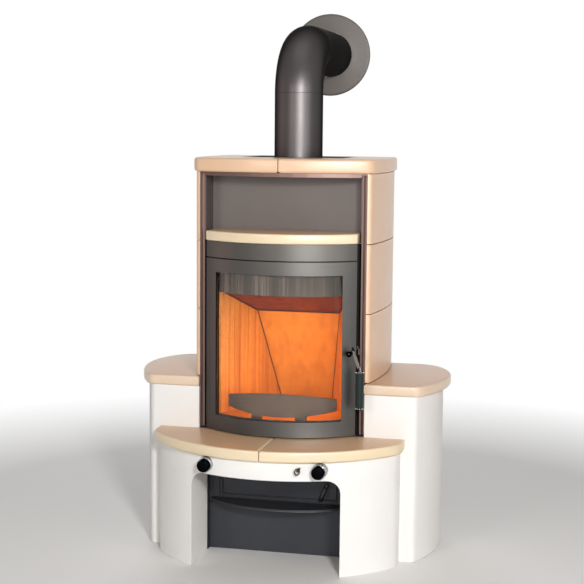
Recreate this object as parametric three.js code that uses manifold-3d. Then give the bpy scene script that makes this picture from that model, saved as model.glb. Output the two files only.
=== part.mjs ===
// Tiled wood stove with a curved bench, two side wings, a niche and a wall flue.
// Millimetres. X points right, Y to the wall behind, Z up. The floor is Z = 0
// and the upright flue pipe stands on the Z axis.
import * as THREE from "three";
import { mergeVertices } from "three/addons/utils/BufferGeometryUtils.js";
import Module from "manifold-3d";

const wasm = await Module();
wasm.setup();

// ---------------------------------------------------------------- dimensions
const fit = 0.3; // gap between pieces that rest on each other
const pastFace = 20; // how far a cutting shape runs past the face it cuts
const shortest = 3; // no outline keeps a point nearer than this to a rounded corner
const facetAngle = 4; // degrees that one flat facet of a front curve spans
const facetMargin = 0.15; // no facet of a front curve is narrower than this share
const weld = 1; // how far two shapes that are joined run into each other

// Masonry bench with the wood store
const wallFaceY = -217; // front plane of both wings
const benchFrontY = -462;
const benchRadius = 448;
const benchHalfWidth = 369;
const benchHeight = 344;
const benchWall = 45;
const benchCorner = 16;
const revealWall = 38;
const storeHalfWidth = 223.5;
const storeBeam = 56; // height of the bench front above the wood store
const storeCorner = 40;

// Ceramic slabs on bench and wings
const benchSlabThickness = 33;
const benchSlabOverhang = 18;
const slabTipOverhang = 12;
const slabTipCorner = 22;
const slabEdge = 7; // rounding of the slab edges
const slabJoint = 3; // joint between two slabs of one layer
const wingSlabThickness = 32;
const wingSlabOverhang = 23;
const wingSlabFrontOverhang = 5;
const wingSlabFrontCorner = 20;
const wingSlabBackCorner = 40;

// Side wings
const wingHeight = 504;
const wingCornerX = 410;
const wingWidestX = 464;
const wingWidestY = 5;
const wingBackX = 395;
const wingBackY = 180;
const wingWall = 40;
const wingCorner = 14;

// Steel casing
const jacketHalfWidth = 256;
const jacketWall = 4;
const jacketBackY = 205;
const jacketFrontY = -182.7;
const casingTop = 1155;
const baseRise = 0.7; // how far the base box stands above the bench slabs
const baseFloor = 160; // underside of the floor inside the base box
const baseWall = 4;
const baseFrontY = -213;

// Ceramic tiles
const tileRows = 3;
const tileFrontReach = 12; // from the casing's side out to the tiles' front corner
const tileFrontY = -209;
const tileReach = 32; // from the casing's side out to the tiles' widest place
const tileWidestY = 20;
const tileBackReach = 14;
const tileFace = 12; // thickness of the glazed face over the hollow back
const tileRim = 44; // width of the solid rim at the front and back edges
const tileCorner = 12;
const tileEdge = 3;

// Top
const topThickness = 42;
const topOverhang = 7;
const topFrontY = -272;
const topCorner = 24;
const topEdge = 8;
const deckThickness = 4.4;
const apronHeight = 7;
const apronSetback = 8;
const insertHalfWidth = 158;
const insertFrontY = -100;
const insertBackY = 150;
const insertThickness = 6;
const insertWall = 4;
const deckHoleClearance = 4;

// Door and everything that follows its curve
const doorRadius = 351;
const doorFrontY = -310;
const doorThickness = 20;
const doorInset = 25; // from the casing's side in to the door's edge
const doorGap = 3; // between the door and the base box below it
const doorHead = 47.7; // from the door's top edge to the top of the firebox
const doorStile = 37.5; // width of the door's upright sides
const doorSill = 46; // height of the door's bottom rail
const doorRail = 40; // height of its top rail
const windowLip = 7; // width of the step that the glass lies against
const glassThickness = 4;
const glassDepth = 7; // steel in front of the glass
const retainerWidth = 9;
const gasketWidth = 12;
const gasketInset = 21; // from the door's side edges in to the seal
const gasketRise = 19; // from the door's bottom edge to the seal
const gasketFall = 14; // from its top edge
const gasketThickness = 8.4;
const fasciaGap = 3;
const fasciaThickness = 4;
const shelfThickness = 30;
const shelfProud = 3;
const shelfEdge = 5;

// Posts beside the door and the niche between them
const postWidth = 16;
const postFrontY = -209;
const postBead = 3;
const nicheBackY = -130;
const nicheWall = 2;
const nicheSetback = 2;

// Hinges and latch
const hingeInset = 10; // from the door's edge in to the hinge line
const hingeDepth = 17.6903; // the hinge line lies this far behind the door's face
const hingePin = 4;
const hingeLug = 5;
const hingeNotch = 8;
const hingeHead = 7.5;
const hingeArm = 10;
const hingeGap = 1.5; // between a hinge lug and the door above or below it
const hingeRelief = 8.5; // the door is cut back from this far behind the hinge line
const notchWidth = 36;
const doorSkin = 5; // steel left in front of the hinge notches
const pinReach = 13;
const pinBoreDepth = 24;
const pinClearance = 0.4;
const spindleInset = 15; // from the door's edge in to the spindle
const spindleRise = 251; // from the door's bottom edge to the spindle
const spindleRadius = 4;
const latchReach = 23.5;
const latchNose = 8;
const latchAngle = 40; // the nose's rest angle above the X axis, degrees
const latchDepth = 15; // the latch's back lies this far behind the hinge line
const latchThickness = 4;
const keeperHeight = 19;
const keeperThickness = 4.5;
const keeperReach = 6;
const keeperDrop = 9; // from the spindle's height to the keeper's top

// Handle
const armDropX = 35;
const armDropZ = 48;
const armRadius = 4.5;
const gripRadius = 12.5;
const gripLength = 104;
const ringRadius = 13.5;
const ringLength = 5;
const handleStandoff = 26;
const hubRadius = 9;
const hubFront = 7; // how far the hub stands in front of the lever's plane
const hubBack = 8;
const neckHeight = 9;
const gripEdge = 1.5;

// Firebox
const fireRoom = 24; // from the casing's side in to the firebox
const fireWall = 5;
const fireBackRoom = 15; // from the casing's back to the firebox
const fireTop = 949.7;
const spigotWall = 3;
const mouthInset = 36; // from the door's side edges in to the firebox mouth
const mouthRise = 42; // from the base box to the firebox mouth
const mouthFall = 79.7; // from the top of the firebox to its mouth
const liningThickness = 25;
const liningInset = 32; // from the firebox's side in to the lining's face in front
const liningFrontY = -170;
const liningSlope = 0.35; // how fast the side linings close in towards the back
const backFootRoom = 35; // from the firebox's back to the foot of the back lining
const backLean = 0.45;
const baffleBackY = 18;
const baffleFall = 232.7; // from the top of the firebox to the baffle's back edge
const baffleRise = 0.43;
const baffleFrontY = -150;
const baffleGap = 2;
const hearthHeight = 37; // from the base box to the top of the hearth
const grateSeat = 10; // width of the ledge that the grate lies on
const grateHalfWidth = 88;
const grateFrontY = -105;
const grateBackY = 45;
const grateThickness = 14;
const grateSlots = 7;
const grateRim = 18;
const grateDrop = 1; // how far the grate lies below the hearth
const fingerCover = 5; // iron left above the shaker's finger
const shakeTravel = 20;
const deflectorDrop = 73; // how far the deflector hangs below the mouth's top
const deflectorThickness = 3;
const guardRadius = 291;
const guardThickness = 7;
const guardInset = 27; // from the mouth's sides in to the guard's ends
const guardRise = 13; // from the hearth to the blade's lowest line
const guardHeight = 71;
const guardEndHeight = 34;
const guardFootX = 68;
const guardFootWidth = 34;

// Flue
const pipeRadius = 75;
const pipeWall = 2;
const pipeSeam = 1399;
const flueHeight = 1540;
const rosetteRadius = 138;
const rosetteThickness = 9;
const rosetteRim = 3; // height of the step at the rosette's edge
const rosetteBevel = 8;
const elbowRings = 7;
const pipeSides = 28; // facets round the flue
const wallY = 480;
const spigotHeight = 34;

// Ash drawer below the firebox, above the curved ledge
const ledgeThickness = 6;
const ledgeInset = 42; // from the casing's side in to the ledge's end
const ledgeLip = 14;
const drawerInset = 70; // from the casing's side in to the drawer front
const drawerHeight = 114;
const drawerFront = 6;
const drawerBead = 4;
const drawerField = 9; // from the panel's edge to the sunk line round its field
const drawerLineDepth = 2;
const panClearance = 3;
const panInset = 18; // from the drawer front's end in to the pan
const panHeight = 88;
const panLength = 300;
const panWall = 2.5;
const leverX = 132;
const leverRadius = 6;
const leverRise = 52;
const leverLean = 20;
const leverBoss = 10;
const leverReach = 28;

// Air controls and the shaker rod in the bench front
const knobX = 169;
const knobDrop = 24; // from the top of the bench walls to the knobs
const knobFrontY = -471;
const knobRadius = 18.3;
const knobLength = 15;
const knobFin = 4;
const collarRadius = 22.5;
const collarRibs = 24;
const ribDepth = 1.2;
const rodRadius = 5;
const boreClearance = 1;
const valveRadius = 34;
const valveThickness = 3;
const valveHoleRadius = 9;
const valveHoleOffset = 20;
const valveRodEnd = 8; // how far a rod runs past its valve's front
const shakerX = 109;
const shakerRod = 4;
const shakerFrontY = -475;
const eyeRadius = 11;
const eyeWire = 3.2;
const shakerFingerY = -60;
const shakerBend = 12;
const shakerStraightY = -180;

// ------------------------------------------------- derived places and planes
const doorCentreY = doorFrontY + doorRadius;
const storeHeight = benchHeight - storeBeam;
const tileFrontX = jacketHalfWidth + tileFrontReach;
const tileWidestX = jacketHalfWidth + tileReach;
const tileBackX = jacketHalfWidth + tileBackReach;
const doorHalfWidth = jacketHalfWidth - doorInset;
const windowHalfWidth = doorHalfWidth - doorStile;
const gasketHalfWidth = doorHalfWidth - gasketInset;
const hingeX = hingeInset - doorHalfWidth;
const hingeY = doorCentreY - Math.sqrt(doorRadius ** 2 - hingeX ** 2) + hingeDepth;
const hingeReliefY = hingeY + hingeRelief;
const latchBackY = hingeY + latchDepth;
const spindleX = doorHalfWidth - spindleInset;
const fireHalfWidth = jacketHalfWidth - fireRoom;
const fireBackY = jacketBackY - fireBackRoom;
const backFootY = fireBackY - backFootRoom;
const mouthHalfWidth = doorHalfWidth - mouthInset;
const liningFrontX = fireHalfWidth - liningInset;
const guardHalfWidth = mouthHalfWidth - guardInset;
const ledgeHalfWidth = jacketHalfWidth - ledgeInset;
const drawerHalfWidth = jacketHalfWidth - drawerInset;
const panHalfWidth = drawerHalfWidth - panInset;
const knobZ = benchHeight - knobDrop;
const shakerZ = knobZ;
const baseHeight = benchHeight + fit + benchSlabThickness + baseRise;
const ledgeTop = baseFloor + ledgeThickness;
const tileTop = casingTop + fit + deckThickness;
const doorBottom = baseHeight + doorGap;
const doorTop = fireTop - doorHead;
const windowBottom = doorBottom + doorSill;
const windowTop = doorTop - doorRail;
const gasketBottom = doorBottom + gasketRise;
const gasketTop = doorTop - gasketFall;
const spindleZ = doorBottom + spindleRise;
const mouthBottom = baseHeight + mouthRise;
const mouthTop = fireTop - mouthFall;
const hearthTop = baseHeight + hearthHeight;
const baffleBackZ = fireTop - baffleFall;
const deflectorBottom = mouthTop - deflectorDrop;
const guardBottom = hearthTop + guardRise;
const benchCentreY = benchFrontY + benchRadius;
const wingInnerX = jacketHalfWidth + fit;
const wingSlabBottom = wingHeight + fit;
const wingSlabTop = wingSlabBottom + wingSlabThickness;
const topBottom = tileTop + fit;
const topTop = topBottom + topThickness;
const doorBackRadius = doorRadius - doorThickness;
const gasketBackRadius = doorBackRadius - fit - gasketThickness;
const fireFrontRadius = gasketBackRadius - fit;
const fireBottom = baseHeight + fit;
const fasciaBottom = doorTop + fasciaGap;
const fasciaTop = fireTop + fit + fasciaThickness;
const shelfBottom = fasciaTop + fit;
const shelfTop = shelfBottom + shelfThickness;
const postInnerX = jacketHalfWidth - postWidth;
const drawerBackY = baseFrontY - 2 * fit - drawerFront;
const drawerBottom = ledgeTop + 2;
const collarFrontY = knobFrontY + knobLength + fit;
const bendRadius = flueHeight - pipeSeam;

// ------------------------------------------------------------------ materials
function finish(colour, roughness, metalness) {
  return new THREE.MeshStandardMaterial({ color: colour, roughness, metalness });
}
const glazedTile = finish(0xe2c1a0, 0.28, 0);
const glazedSlab = finish(0xc8a883, 0.3, 0);
const plaster = finish(0xf3f2ef, 0.6, 0);
const darkSteel = finish(0x55565a, 0.45, 0.6);
const pipeSteel = finish(0x4b4a4c, 0.42, 0.6);
const rosetteGrey = finish(0x86817c, 0.55, 0.3);
const castIron = finish(0x4a4541, 0.75, 0.4);
const brightSteel = finish(0xb9bbbd, 0.3, 0.9);
const blackCap = finish(0x161617, 0.45, 0);
const gripGreen = finish(0x24302e, 0.5, 0);
const vermiculite = finish(0xc97b3d, 0.9, 0);
const ceramicGlass = finish(0xbfc4c4, 0.05, 0);
const ropeGrey = finish(0x777777, 0.95, 0);

// -------------------------------------------------------------- solid helpers
function solid(geometry) {
  const bare = geometry.clone();
  bare.deleteAttribute("normal");
  bare.deleteAttribute("uv");
  const merged = mergeVertices(bare, 1e-4);
  return new wasm.Manifold(new wasm.Mesh({
    numProp: 3,
    vertProperties: new Float32Array(merged.attributes.position.array),
    triVerts: new Uint32Array(merged.index.array),
  }));
}

function geometryOf(body) {
  const { vertProperties, triVerts } = body.getMesh();
  const geometry = new THREE.BufferGeometry();
  geometry.setAttribute("position", new THREE.BufferAttribute(vertProperties, 3));
  geometry.setIndex(new THREE.BufferAttribute(triVerts, 1));
  geometry.computeVertexNormals();
  return geometry;
}

function joined(first, ...others) {
  return others.reduce((body, other) => body.add(other), first);
}

function cut(body, ...tools) {
  return tools.reduce((rest, tool) => rest.subtract(tool), body);
}

// A straight prism over a plan outline, optionally with rounded edges.
function prismGeometry(points, low, high, edge = 0, edgeSteps = 2) {
  const geometry = new THREE.ExtrudeGeometry(new THREE.Shape(points), {
    depth: high - low - 2 * edge,
    bevelEnabled: edge > 0,
    bevelThickness: edge,
    bevelSize: edge,
    bevelOffset: -edge,
    bevelSegments: edgeSteps,
    steps: 1,
  });
  return geometry.translate(0, 0, low + edge);
}

function prism(points, low, high, edge = 0, edgeSteps = 2) {
  return solid(prismGeometry(points, low, high, edge, edgeSteps));
}

// A prism whose outline is drawn in X and Z and which runs from front to back.
function frontPrism(points, front, back) {
  const geometry = prismGeometry(points, 0, back - front);
  return solid(geometry.rotateX(Math.PI / 2).translate(0, back, 0));
}

function block(x0, x1, y0, y1, z0, z1) {
  const geometry = new THREE.BoxGeometry(x1 - x0, y1 - y0, z1 - z0);
  return solid(geometry.translate((x0 + x1) / 2, (y0 + y1) / 2, (z0 + z1) / 2));
}

// An upright solid of revolution from [radius, height] pairs.
function turned(profile, sides) {
  const points = profile.map(([radius, height]) => new THREE.Vector2(radius, height));
  return solid(new THREE.LatheGeometry(points, sides).rotateX(Math.PI / 2));
}

// The same, lying along Y: heights are then distances towards the wall.
function turnedAlongY(profile, sides, x, y, z) {
  return turned(profile, sides).rotate([-90, 0, 0]).translate([x, y, z]);
}

function cylinderAlongZ(x, y, radius, low, high, sides = 24) {
  return turned([[0, low], [radius, low], [radius, high], [0, high]], sides).translate([x, y, 0]);
}

function cylinderAlongY(x, z, radius, front, back, sides = 16) {
  const profile = [[0, 0], [radius, 0], [radius, back - front], [0, back - front]];
  return turnedAlongY(profile, sides, x, front, z);
}

// A round bar that follows a curve.
function bar(curve, radius, sides, steps) {
  const section = new THREE.Shape();
  section.absarc(0, 0, radius, 0, 2 * Math.PI, false);
  const geometry = new THREE.ExtrudeGeometry(section, {
    extrudePath: curve,
    steps,
    bevelEnabled: false,
    curveSegments: Math.ceil(sides / 2),
  });
  return solid(geometry);
}

// ------------------------------------------------------------ outline helpers
function point(x, y) {
  return new THREE.Vector2(x, y);
}

// Points on a circle about (0, centreY), bulging to the front, from x0 to x1.
// They stand on whole facet angles, so that shells of one centre stay parallel.
function frontArc(radius, centreY, x0, x1) {
  const facet = (facetAngle * Math.PI) / 180;
  const start = Math.asin(x0 / radius);
  const end = Math.asin(x1 / radius);
  const angles = [start];
  for (let i = Math.ceil(start / facet + facetMargin); i * facet < end - facetMargin * facet; i += 1) {
    angles.push(i * facet);
  }
  angles.push(end);
  return angles.map((angle) => point(radius * Math.sin(angle), centreY - radius * Math.cos(angle)));
}

// Half of a side bulge: from a corner to the widest point, square to X there.
function halfBulge(cornerX, cornerY, widestX, widestY, steps) {
  const dx = widestX - cornerX;
  const dy = widestY - cornerY;
  const radius = (dx * dx + dy * dy) / (2 * dx);
  const sweep = Math.asin(dy / radius);
  return Array.from({ length: steps + 1 }, (_, i) => {
    const angle = sweep * (1 - i / steps);
    return point(widestX - radius * (1 - Math.cos(angle)), widestY - radius * Math.sin(angle));
  });
}

// A side bulge from the front corner past the widest point to the back corner.
function sideBulge(frontX, frontY, widestX, widestY, backX, backY, steps) {
  const front = halfBulge(frontX, frontY, widestX, widestY, steps);
  const back = halfBulge(backX, backY, widestX, widestY, steps).reverse();
  return [...front, ...back.slice(1)];
}

// Replaces the corner at one index by a curve that leaves it `radius` before
// and joins again `radius` after, measured along the outline.
function softened(points, index, radius, steps = 4) {
  const count = points.length;
  const corner = points[index];
  const leave = (step) => {
    let at = index;
    let left = radius;
    for (;;) {
      const next = (at + step + count) % count;
      const length = points[at].distanceTo(points[next]);
      if (length > left) return { place: points[at].clone().lerp(points[next], left / length), at: next };
      left -= length;
      at = next;
    }
  };
  const before = leave(-1);
  const after = leave(1);
  const curve = new THREE.QuadraticBezierCurve(before.place, corner, after.place);
  const kept = [];
  for (let i = after.at; i !== before.at; i = (i + 1) % count) kept.push(points[i]);
  kept.push(points[before.at]);
  const apart = (p) => p.distanceTo(before.place) > shortest && p.distanceTo(after.place) > shortest;
  return [...kept.filter(apart), ...curve.getPoints(steps)];
}

function indexNear(points, x, y) {
  const target = point(x, y);
  const distances = points.map((p) => p.distanceTo(target));
  return distances.indexOf(Math.min(...distances));
}

function softenedNear(points, x, y, radius, steps) {
  return softened(points, indexNear(points, x, y), radius, steps);
}

function mirrored(points, side) {
  return points.map((p) => point(side * p.x, p.y));
}

// A shell that follows the door's curve between two radii.
function doorShell(outer, inner, halfWidth, low, high) {
  const front = frontArc(outer, doorCentreY, -halfWidth, halfWidth);
  const back = frontArc(inner, doorCentreY, -halfWidth, halfWidth).reverse();
  return prism([...front, ...back], low, high);
}

// ----------------------------------------------------------------- the group
const stove = new THREE.Group();

function add(name, body, material) {
  const mesh = new THREE.Mesh(body.isBufferGeometry ? body : geometryOf(body), material);
  mesh.name = name;
  stove.add(mesh);
  return mesh;
}

const sides = [["left", -1], ["right", 1]];

// ------------------------------------------------------------------ the bench
function benchOutline(radius, halfWidth, corner) {
  const arc = frontArc(radius, benchCentreY, -halfWidth, halfWidth);
  const back = wallFaceY - fit;
  const points = [...arc, point(halfWidth, back), point(-halfWidth, back)];
  const right = softenedNear(points, halfWidth, arc.at(-1).y, corner, 3);
  return softenedNear(right, -halfWidth, arc[0].y, corner, 3);
}

function storeOpening() {
  const w = storeHalfWidth;
  const points = [point(-w, -pastFace), point(w, -pastFace), point(w, storeHeight), point(-w, storeHeight)];
  const right = softenedNear(points, w, storeHeight, storeCorner, 5);
  return softenedNear(right, -w, storeHeight, storeCorner, 5);
}

function makeBench() {
  const shell = prism(benchOutline(benchRadius, benchHalfWidth, benchCorner), 0, benchHeight);
  const innerHalfWidth = benchHalfWidth - benchWall;
  const innerArc = frontArc(benchRadius - benchWall, benchCentreY, -innerHalfWidth, innerHalfWidth);
  const behind = wallFaceY + pastFace;
  const hollow = prism(
    [...innerArc, point(innerArc.at(-1).x, behind), point(innerArc[0].x, behind)],
    -pastFace, benchHeight + pastFace,
  );
  const revealBackY = wallFaceY - fit;
  const reveals = sides.map(([, side]) => {
    const x = [storeHalfWidth, storeHalfWidth + revealWall].map((value) => side * value);
    return block(Math.min(...x), Math.max(...x), benchFrontY + benchWall, revealBackY, 0, benchHeight);
  });
  const outline = prism(benchOutline(benchRadius, benchHalfWidth, benchCorner), 0, benchHeight);
  const walls = joined(cut(shell, hollow), ...reveals.map((reveal) => reveal.intersect(outline)));
  const opening = frontPrism(storeOpening(), benchFrontY - pastFace, revealBackY + pastFace);
  const knobBores = sides.map(([, side]) =>
    cylinderAlongY(side * knobX, knobZ, rodRadius + boreClearance, benchFrontY - pastFace, wallFaceY));
  const shakerBore = cylinderAlongY(
    shakerX, shakerZ, shakerRod + boreClearance, benchFrontY - pastFace, wallFaceY,
  );
  add("bench_body", cut(walls, opening, ...knobBores, shakerBore), plaster);
}

function makeBenchSlabs() {
  const radius = benchRadius + benchSlabOverhang;
  const halfWidth = benchHalfWidth + slabTipOverhang;
  const low = benchHeight + fit;
  for (const [name, side] of sides) {
    const arc = frontArc(radius, benchCentreY, slabJoint / 2, halfWidth);
    const back = wallFaceY - fit;
    const points = [...arc, point(halfWidth, back), point(slabJoint / 2, back)];
    const tip = softenedNear(points, halfWidth, arc.at(-1).y, slabTipCorner, 4);
    add(
      `bench_slab_${name}`,
      prism(mirrored(tip, side), low, low + benchSlabThickness, slabEdge, 3),
      glazedSlab,
    );
  }
}

// ------------------------------------------------------------------ the wings
function wingOutline(side) {
  const outer = sideBulge(wingCornerX, wallFaceY, wingWidestX, wingWidestY, wingBackX, wingBackY, 10);
  const points = [point(wingInnerX, wallFaceY), ...outer, point(wingInnerX, wingBackY)];
  const front = softenedNear(points, wingCornerX, wallFaceY, wingCorner, 3);
  return mirrored(softenedNear(front, wingBackX, wingBackY, 2 * wingCorner, 3), side);
}

function wingHollow(side) {
  const w = wingWall;
  const outer = sideBulge(
    wingCornerX - w, wallFaceY + w, wingWidestX - w, wingWidestY, wingBackX - w, wingBackY - w, 8,
  );
  const open = wingInnerX - pastFace;
  return mirrored([point(open, wallFaceY + w), ...outer, point(open, wingBackY - w)], side);
}

function makeWings() {
  for (const [name, side] of sides) {
    const wall = prism(wingOutline(side), 0, wingHeight);
    const hollow = prism(wingHollow(side), -pastFace, wingHeight + pastFace);
    add(`wing_body_${name}`, cut(wall, hollow), plaster);

    const over = wingSlabOverhang;
    const frontY = wallFaceY - wingSlabFrontOverhang;
    const backY = wingBackY + over / 2;
    const outer = sideBulge(
      wingCornerX + over / 3, frontY, wingWidestX + over, wingWidestY, wingBackX + over / 2, backY, 7,
    );
    const points = [point(wingInnerX, frontY), ...outer, point(wingInnerX, backY)];
    const front = softenedNear(points, wingCornerX + over / 3, frontY, wingSlabFrontCorner, 4);
    const plan = softenedNear(front, wingBackX + over / 2, backY, wingSlabBackCorner, 4);
    add(
      `wing_slab_${name}`,
      prism(mirrored(plan, side), wingSlabBottom, wingSlabTop, slabEdge, 2),
      glazedSlab,
    );
  }
}

// ------------------------------------------------------------------ the tiles
function tileOutline(side) {
  const outer = sideBulge(tileFrontX, tileFrontY, tileWidestX, tileWidestY, tileBackX, jacketBackY, 7);
  const hollow = sideBulge(
    wingInnerX, tileFrontY + tileRim, tileWidestX - tileFace, tileWidestY,
    wingInnerX, jacketBackY - tileRim, 4,
  );
  const points = [
    point(wingInnerX, tileFrontY), ...outer, point(wingInnerX, jacketBackY), ...hollow.reverse(),
  ];
  return mirrored(softenedNear(points, tileFrontX, tileFrontY, tileCorner, 3), side);
}

function makeTiles() {
  const pitch = (tileTop - wingSlabTop) / tileRows;
  for (const [name, side] of sides) {
    const plan = tileOutline(side);
    for (let row = 0; row < tileRows; row += 1) {
      const low = wingSlabTop + row * pitch + fit;
      add(`tile_${name}_${row + 1}`, prism(plan, low, low + pitch - fit, tileEdge, 1), glazedTile);
    }
  }
}

// -------------------------------------------------------------------- the top
function topFrontArc(frontY, cornerX, cornerY) {
  const sag = cornerY - frontY;
  const radius = (cornerX * cornerX + sag * sag) / (2 * sag);
  const centreY = frontY + radius;
  return { radius, centreY, points: (x0, x1) => frontArc(radius, centreY, x0, x1) };
}

function makeTop() {
  const over = topOverhang;
  const cornerX = tileFrontX + over;
  const cornerY = tileFrontY - over;
  const backY = jacketBackY + over;
  const hole = block(
    -insertHalfWidth - fit, insertHalfWidth + fit, insertFrontY - fit, insertBackY + fit,
    topBottom - pastFace, topTop + pastFace,
  );
  for (const [name, side] of sides) {
    const front = topFrontArc(topFrontY, cornerX, cornerY).points(slabJoint / 2, cornerX);
    const flank = sideBulge(
      cornerX, cornerY, tileWidestX + over, tileWidestY, tileBackX + over, backY, 8,
    );
    const points = [...front, ...flank.slice(1), point(slabJoint / 2, backY)];
    const corner = softenedNear(points, cornerX, cornerY, topCorner, 4);
    const plan = softenedNear(corner, tileBackX + over, backY, topCorner, 3);
    const plate = prism(mirrored(plan, side), topBottom, topTop, topEdge, 2);
    add(`top_plate_${name}`, cut(plate, hole), glazedTile);
  }
  const insertLow = topTop - insertThickness;
  const frame = block(
    -insertHalfWidth, insertHalfWidth, insertFrontY, insertBackY, topBottom, topTop,
  );
  const hollow = block(
    -insertHalfWidth + insertWall, insertHalfWidth - insertWall, insertFrontY + insertWall,
    insertBackY - insertWall, topBottom - pastFace, insertLow,
  );
  const pipeHole = cylinderAlongZ(
    0, 0, pipeRadius + fit, topBottom - pastFace, topTop + pastFace, pipeSides,
  );
  add("top_insert", cut(frame, hollow, pipeHole), darkSteel);
}

function makeDeck() {
  const low = casingTop + fit;
  const front = topFrontArc(topFrontY + apronSetback, jacketHalfWidth, postFrontY);
  const arc = front.points(-jacketHalfWidth, jacketHalfWidth);
  const plate = prism(
    [...arc, point(jacketHalfWidth, jacketBackY), point(-jacketHalfWidth, jacketBackY)],
    low, low + deckThickness,
  );
  const apronWidth = postInnerX - fit;
  const apronDepth = deckThickness;
  const apronFront = frontArc(front.radius, front.centreY, -apronWidth, apronWidth);
  const apronBack = apronFront.map((p) => point(p.x, p.y + apronDepth)).reverse();
  const apron = prism([...apronFront, ...apronBack], low - apronHeight, low + deckThickness / 2);
  const hole = cylinderAlongZ(
    0, 0, pipeRadius + deckHoleClearance, low - pastFace, low + pastFace, pipeSides,
  );
  add("top_deck", cut(joined(plate, apron), hole), darkSteel);
}

// ------------------------------------------------------- casing, posts, niche
function makeJacket() {
  const w = jacketHalfWidth;
  const t = jacketWall;
  const shell = block(-w, w, jacketFrontY, jacketBackY, baseHeight + fit, casingTop);
  const inside = block(-w + t, w - t, jacketFrontY - pastFace, jacketBackY - t, 0, casingTop + pastFace);
  add("outer_jacket", cut(shell, inside), darkSteel);
}

function makePosts() {
  const front = postFrontY;
  const back = jacketFrontY - fit;
  const middle = (postInnerX + jacketHalfWidth) / 2;
  const bead = Array.from({ length: 7 }, (_, i) => {
    const angle = Math.PI * (i / 6);
    return point(middle - postBead * Math.cos(angle), front - postBead * Math.sin(angle));
  });
  const plan = [
    point(postInnerX, front), ...bead, point(jacketHalfWidth, front),
    point(jacketHalfWidth, back), point(postInnerX, back),
  ];
  for (const [name, side] of sides) {
    add(`post_${name}`, prism(mirrored(plan, side), doorBottom, casingTop), darkSteel);
  }
}

function makeNiche() {
  const w = postInnerX - fit;
  const t = nicheWall;
  const low = shelfBottom;
  const high = casingTop;
  const front = postFrontY + nicheSetback;
  const shell = block(-w, w, front, nicheBackY, low, high);
  const inside = block(-w + t, w - t, front - pastFace, nicheBackY - t, low - pastFace, high - t);
  add("niche_liner", cut(shell, inside), darkSteel);

  const shelfRadius = doorRadius + shelfProud;
  const arc = frontArc(shelfRadius, doorCentreY, -doorHalfWidth, doorHalfWidth);
  const back = nicheBackY - t - fit;
  const plan = [...arc, point(doorHalfWidth, back), point(-doorHalfWidth, back)];
  add("shelf_plate", prism(plan, shelfBottom, shelfTop, shelfEdge, 2), glazedSlab);
}

function makeFascia() {
  const outer = doorRadius;
  const inner = doorRadius - fasciaThickness;
  const front = doorShell(outer, inner, doorHalfWidth, fasciaBottom, fasciaTop);
  const arc = frontArc(inner + weld, doorCentreY, -doorHalfWidth, doorHalfWidth);
  const flange = prism(
    [...arc, point(doorHalfWidth, nicheBackY), point(-doorHalfWidth, nicheBackY)],
    fasciaTop - fasciaThickness, fasciaTop,
  );
  add("fascia_panel", joined(front, flange), darkSteel);
}

// --------------------------------------------------------------- the base box
function makeBase() {
  const w = jacketHalfWidth;
  const t = baseWall;
  const skirt = block(-w, w, baseFrontY, jacketBackY, 0, baseFloor - fit);
  const underside = block(-w + t, w - t, baseFrontY + t, jacketBackY - t, -pastFace, baseFloor);
  add("base_plinth", cut(skirt, underside), darkSteel);

  const shell = block(-w, w, baseFrontY, jacketBackY, baseFloor, baseHeight);
  const inside = block(-w + t, w - t, baseFrontY + t, jacketBackY - t, ledgeTop, baseHeight - t);
  const mouth = block(
    -panHalfWidth - panClearance, panHalfWidth + panClearance, baseFrontY - pastFace,
    baseFrontY + pastFace, ledgeTop, drawerBottom + panHeight + 2 * panClearance,
  );
  const chute = block(
    -grateHalfWidth, grateHalfWidth, grateFrontY - shakeTravel, grateBackY, baseHeight - pastFace,
    baseHeight + pastFace,
  );
  const frontHole = (x, z, radius) => cylinderAlongY(
    x, z, radius, baseFrontY - 1, baseFrontY + pastFace, 12,
  );
  const valveHoles = sides.flatMap(([, side]) => [
    frontHole(side * knobX, knobZ, rodRadius + boreClearance),
    frontHole(side * knobX, knobZ + valveHoleOffset, valveHoleRadius),
    frontHole(side * knobX, knobZ - valveHoleOffset, valveHoleRadius),
  ]);
  const shakerBore = frontHole(shakerX, shakerZ, shakerRod + boreClearance);
  add("base_carcass", cut(shell, inside, mouth, chute, ...valveHoles, shakerBore), darkSteel);

  const arc = frontArc(doorRadius + shelfProud, doorCentreY, -ledgeHalfWidth, ledgeHalfWidth);
  const back = baseFrontY - fit;
  const plate = prism(
    [...arc, point(ledgeHalfWidth, back), point(-ledgeHalfWidth, back)],
    ledgeTop - ledgeThickness / 2, ledgeTop,
  );
  const inner = frontArc(
    doorRadius + shelfProud - ledgeThickness / 2, doorCentreY, -ledgeHalfWidth, ledgeHalfWidth,
  );
  const lip = prism([...arc, ...inner.reverse()], ledgeTop - ledgeLip, ledgeTop);
  add("base_ledge", joined(plate, lip), darkSteel);
}

// ---------------------------------------------------------------- the firebox
function fireboxPlan(frontRadius, halfWidth, backY) {
  const arc = frontArc(frontRadius, doorCentreY, -halfWidth, halfWidth);
  return [...arc, point(halfWidth, backY), point(-halfWidth, backY)];
}

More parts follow.
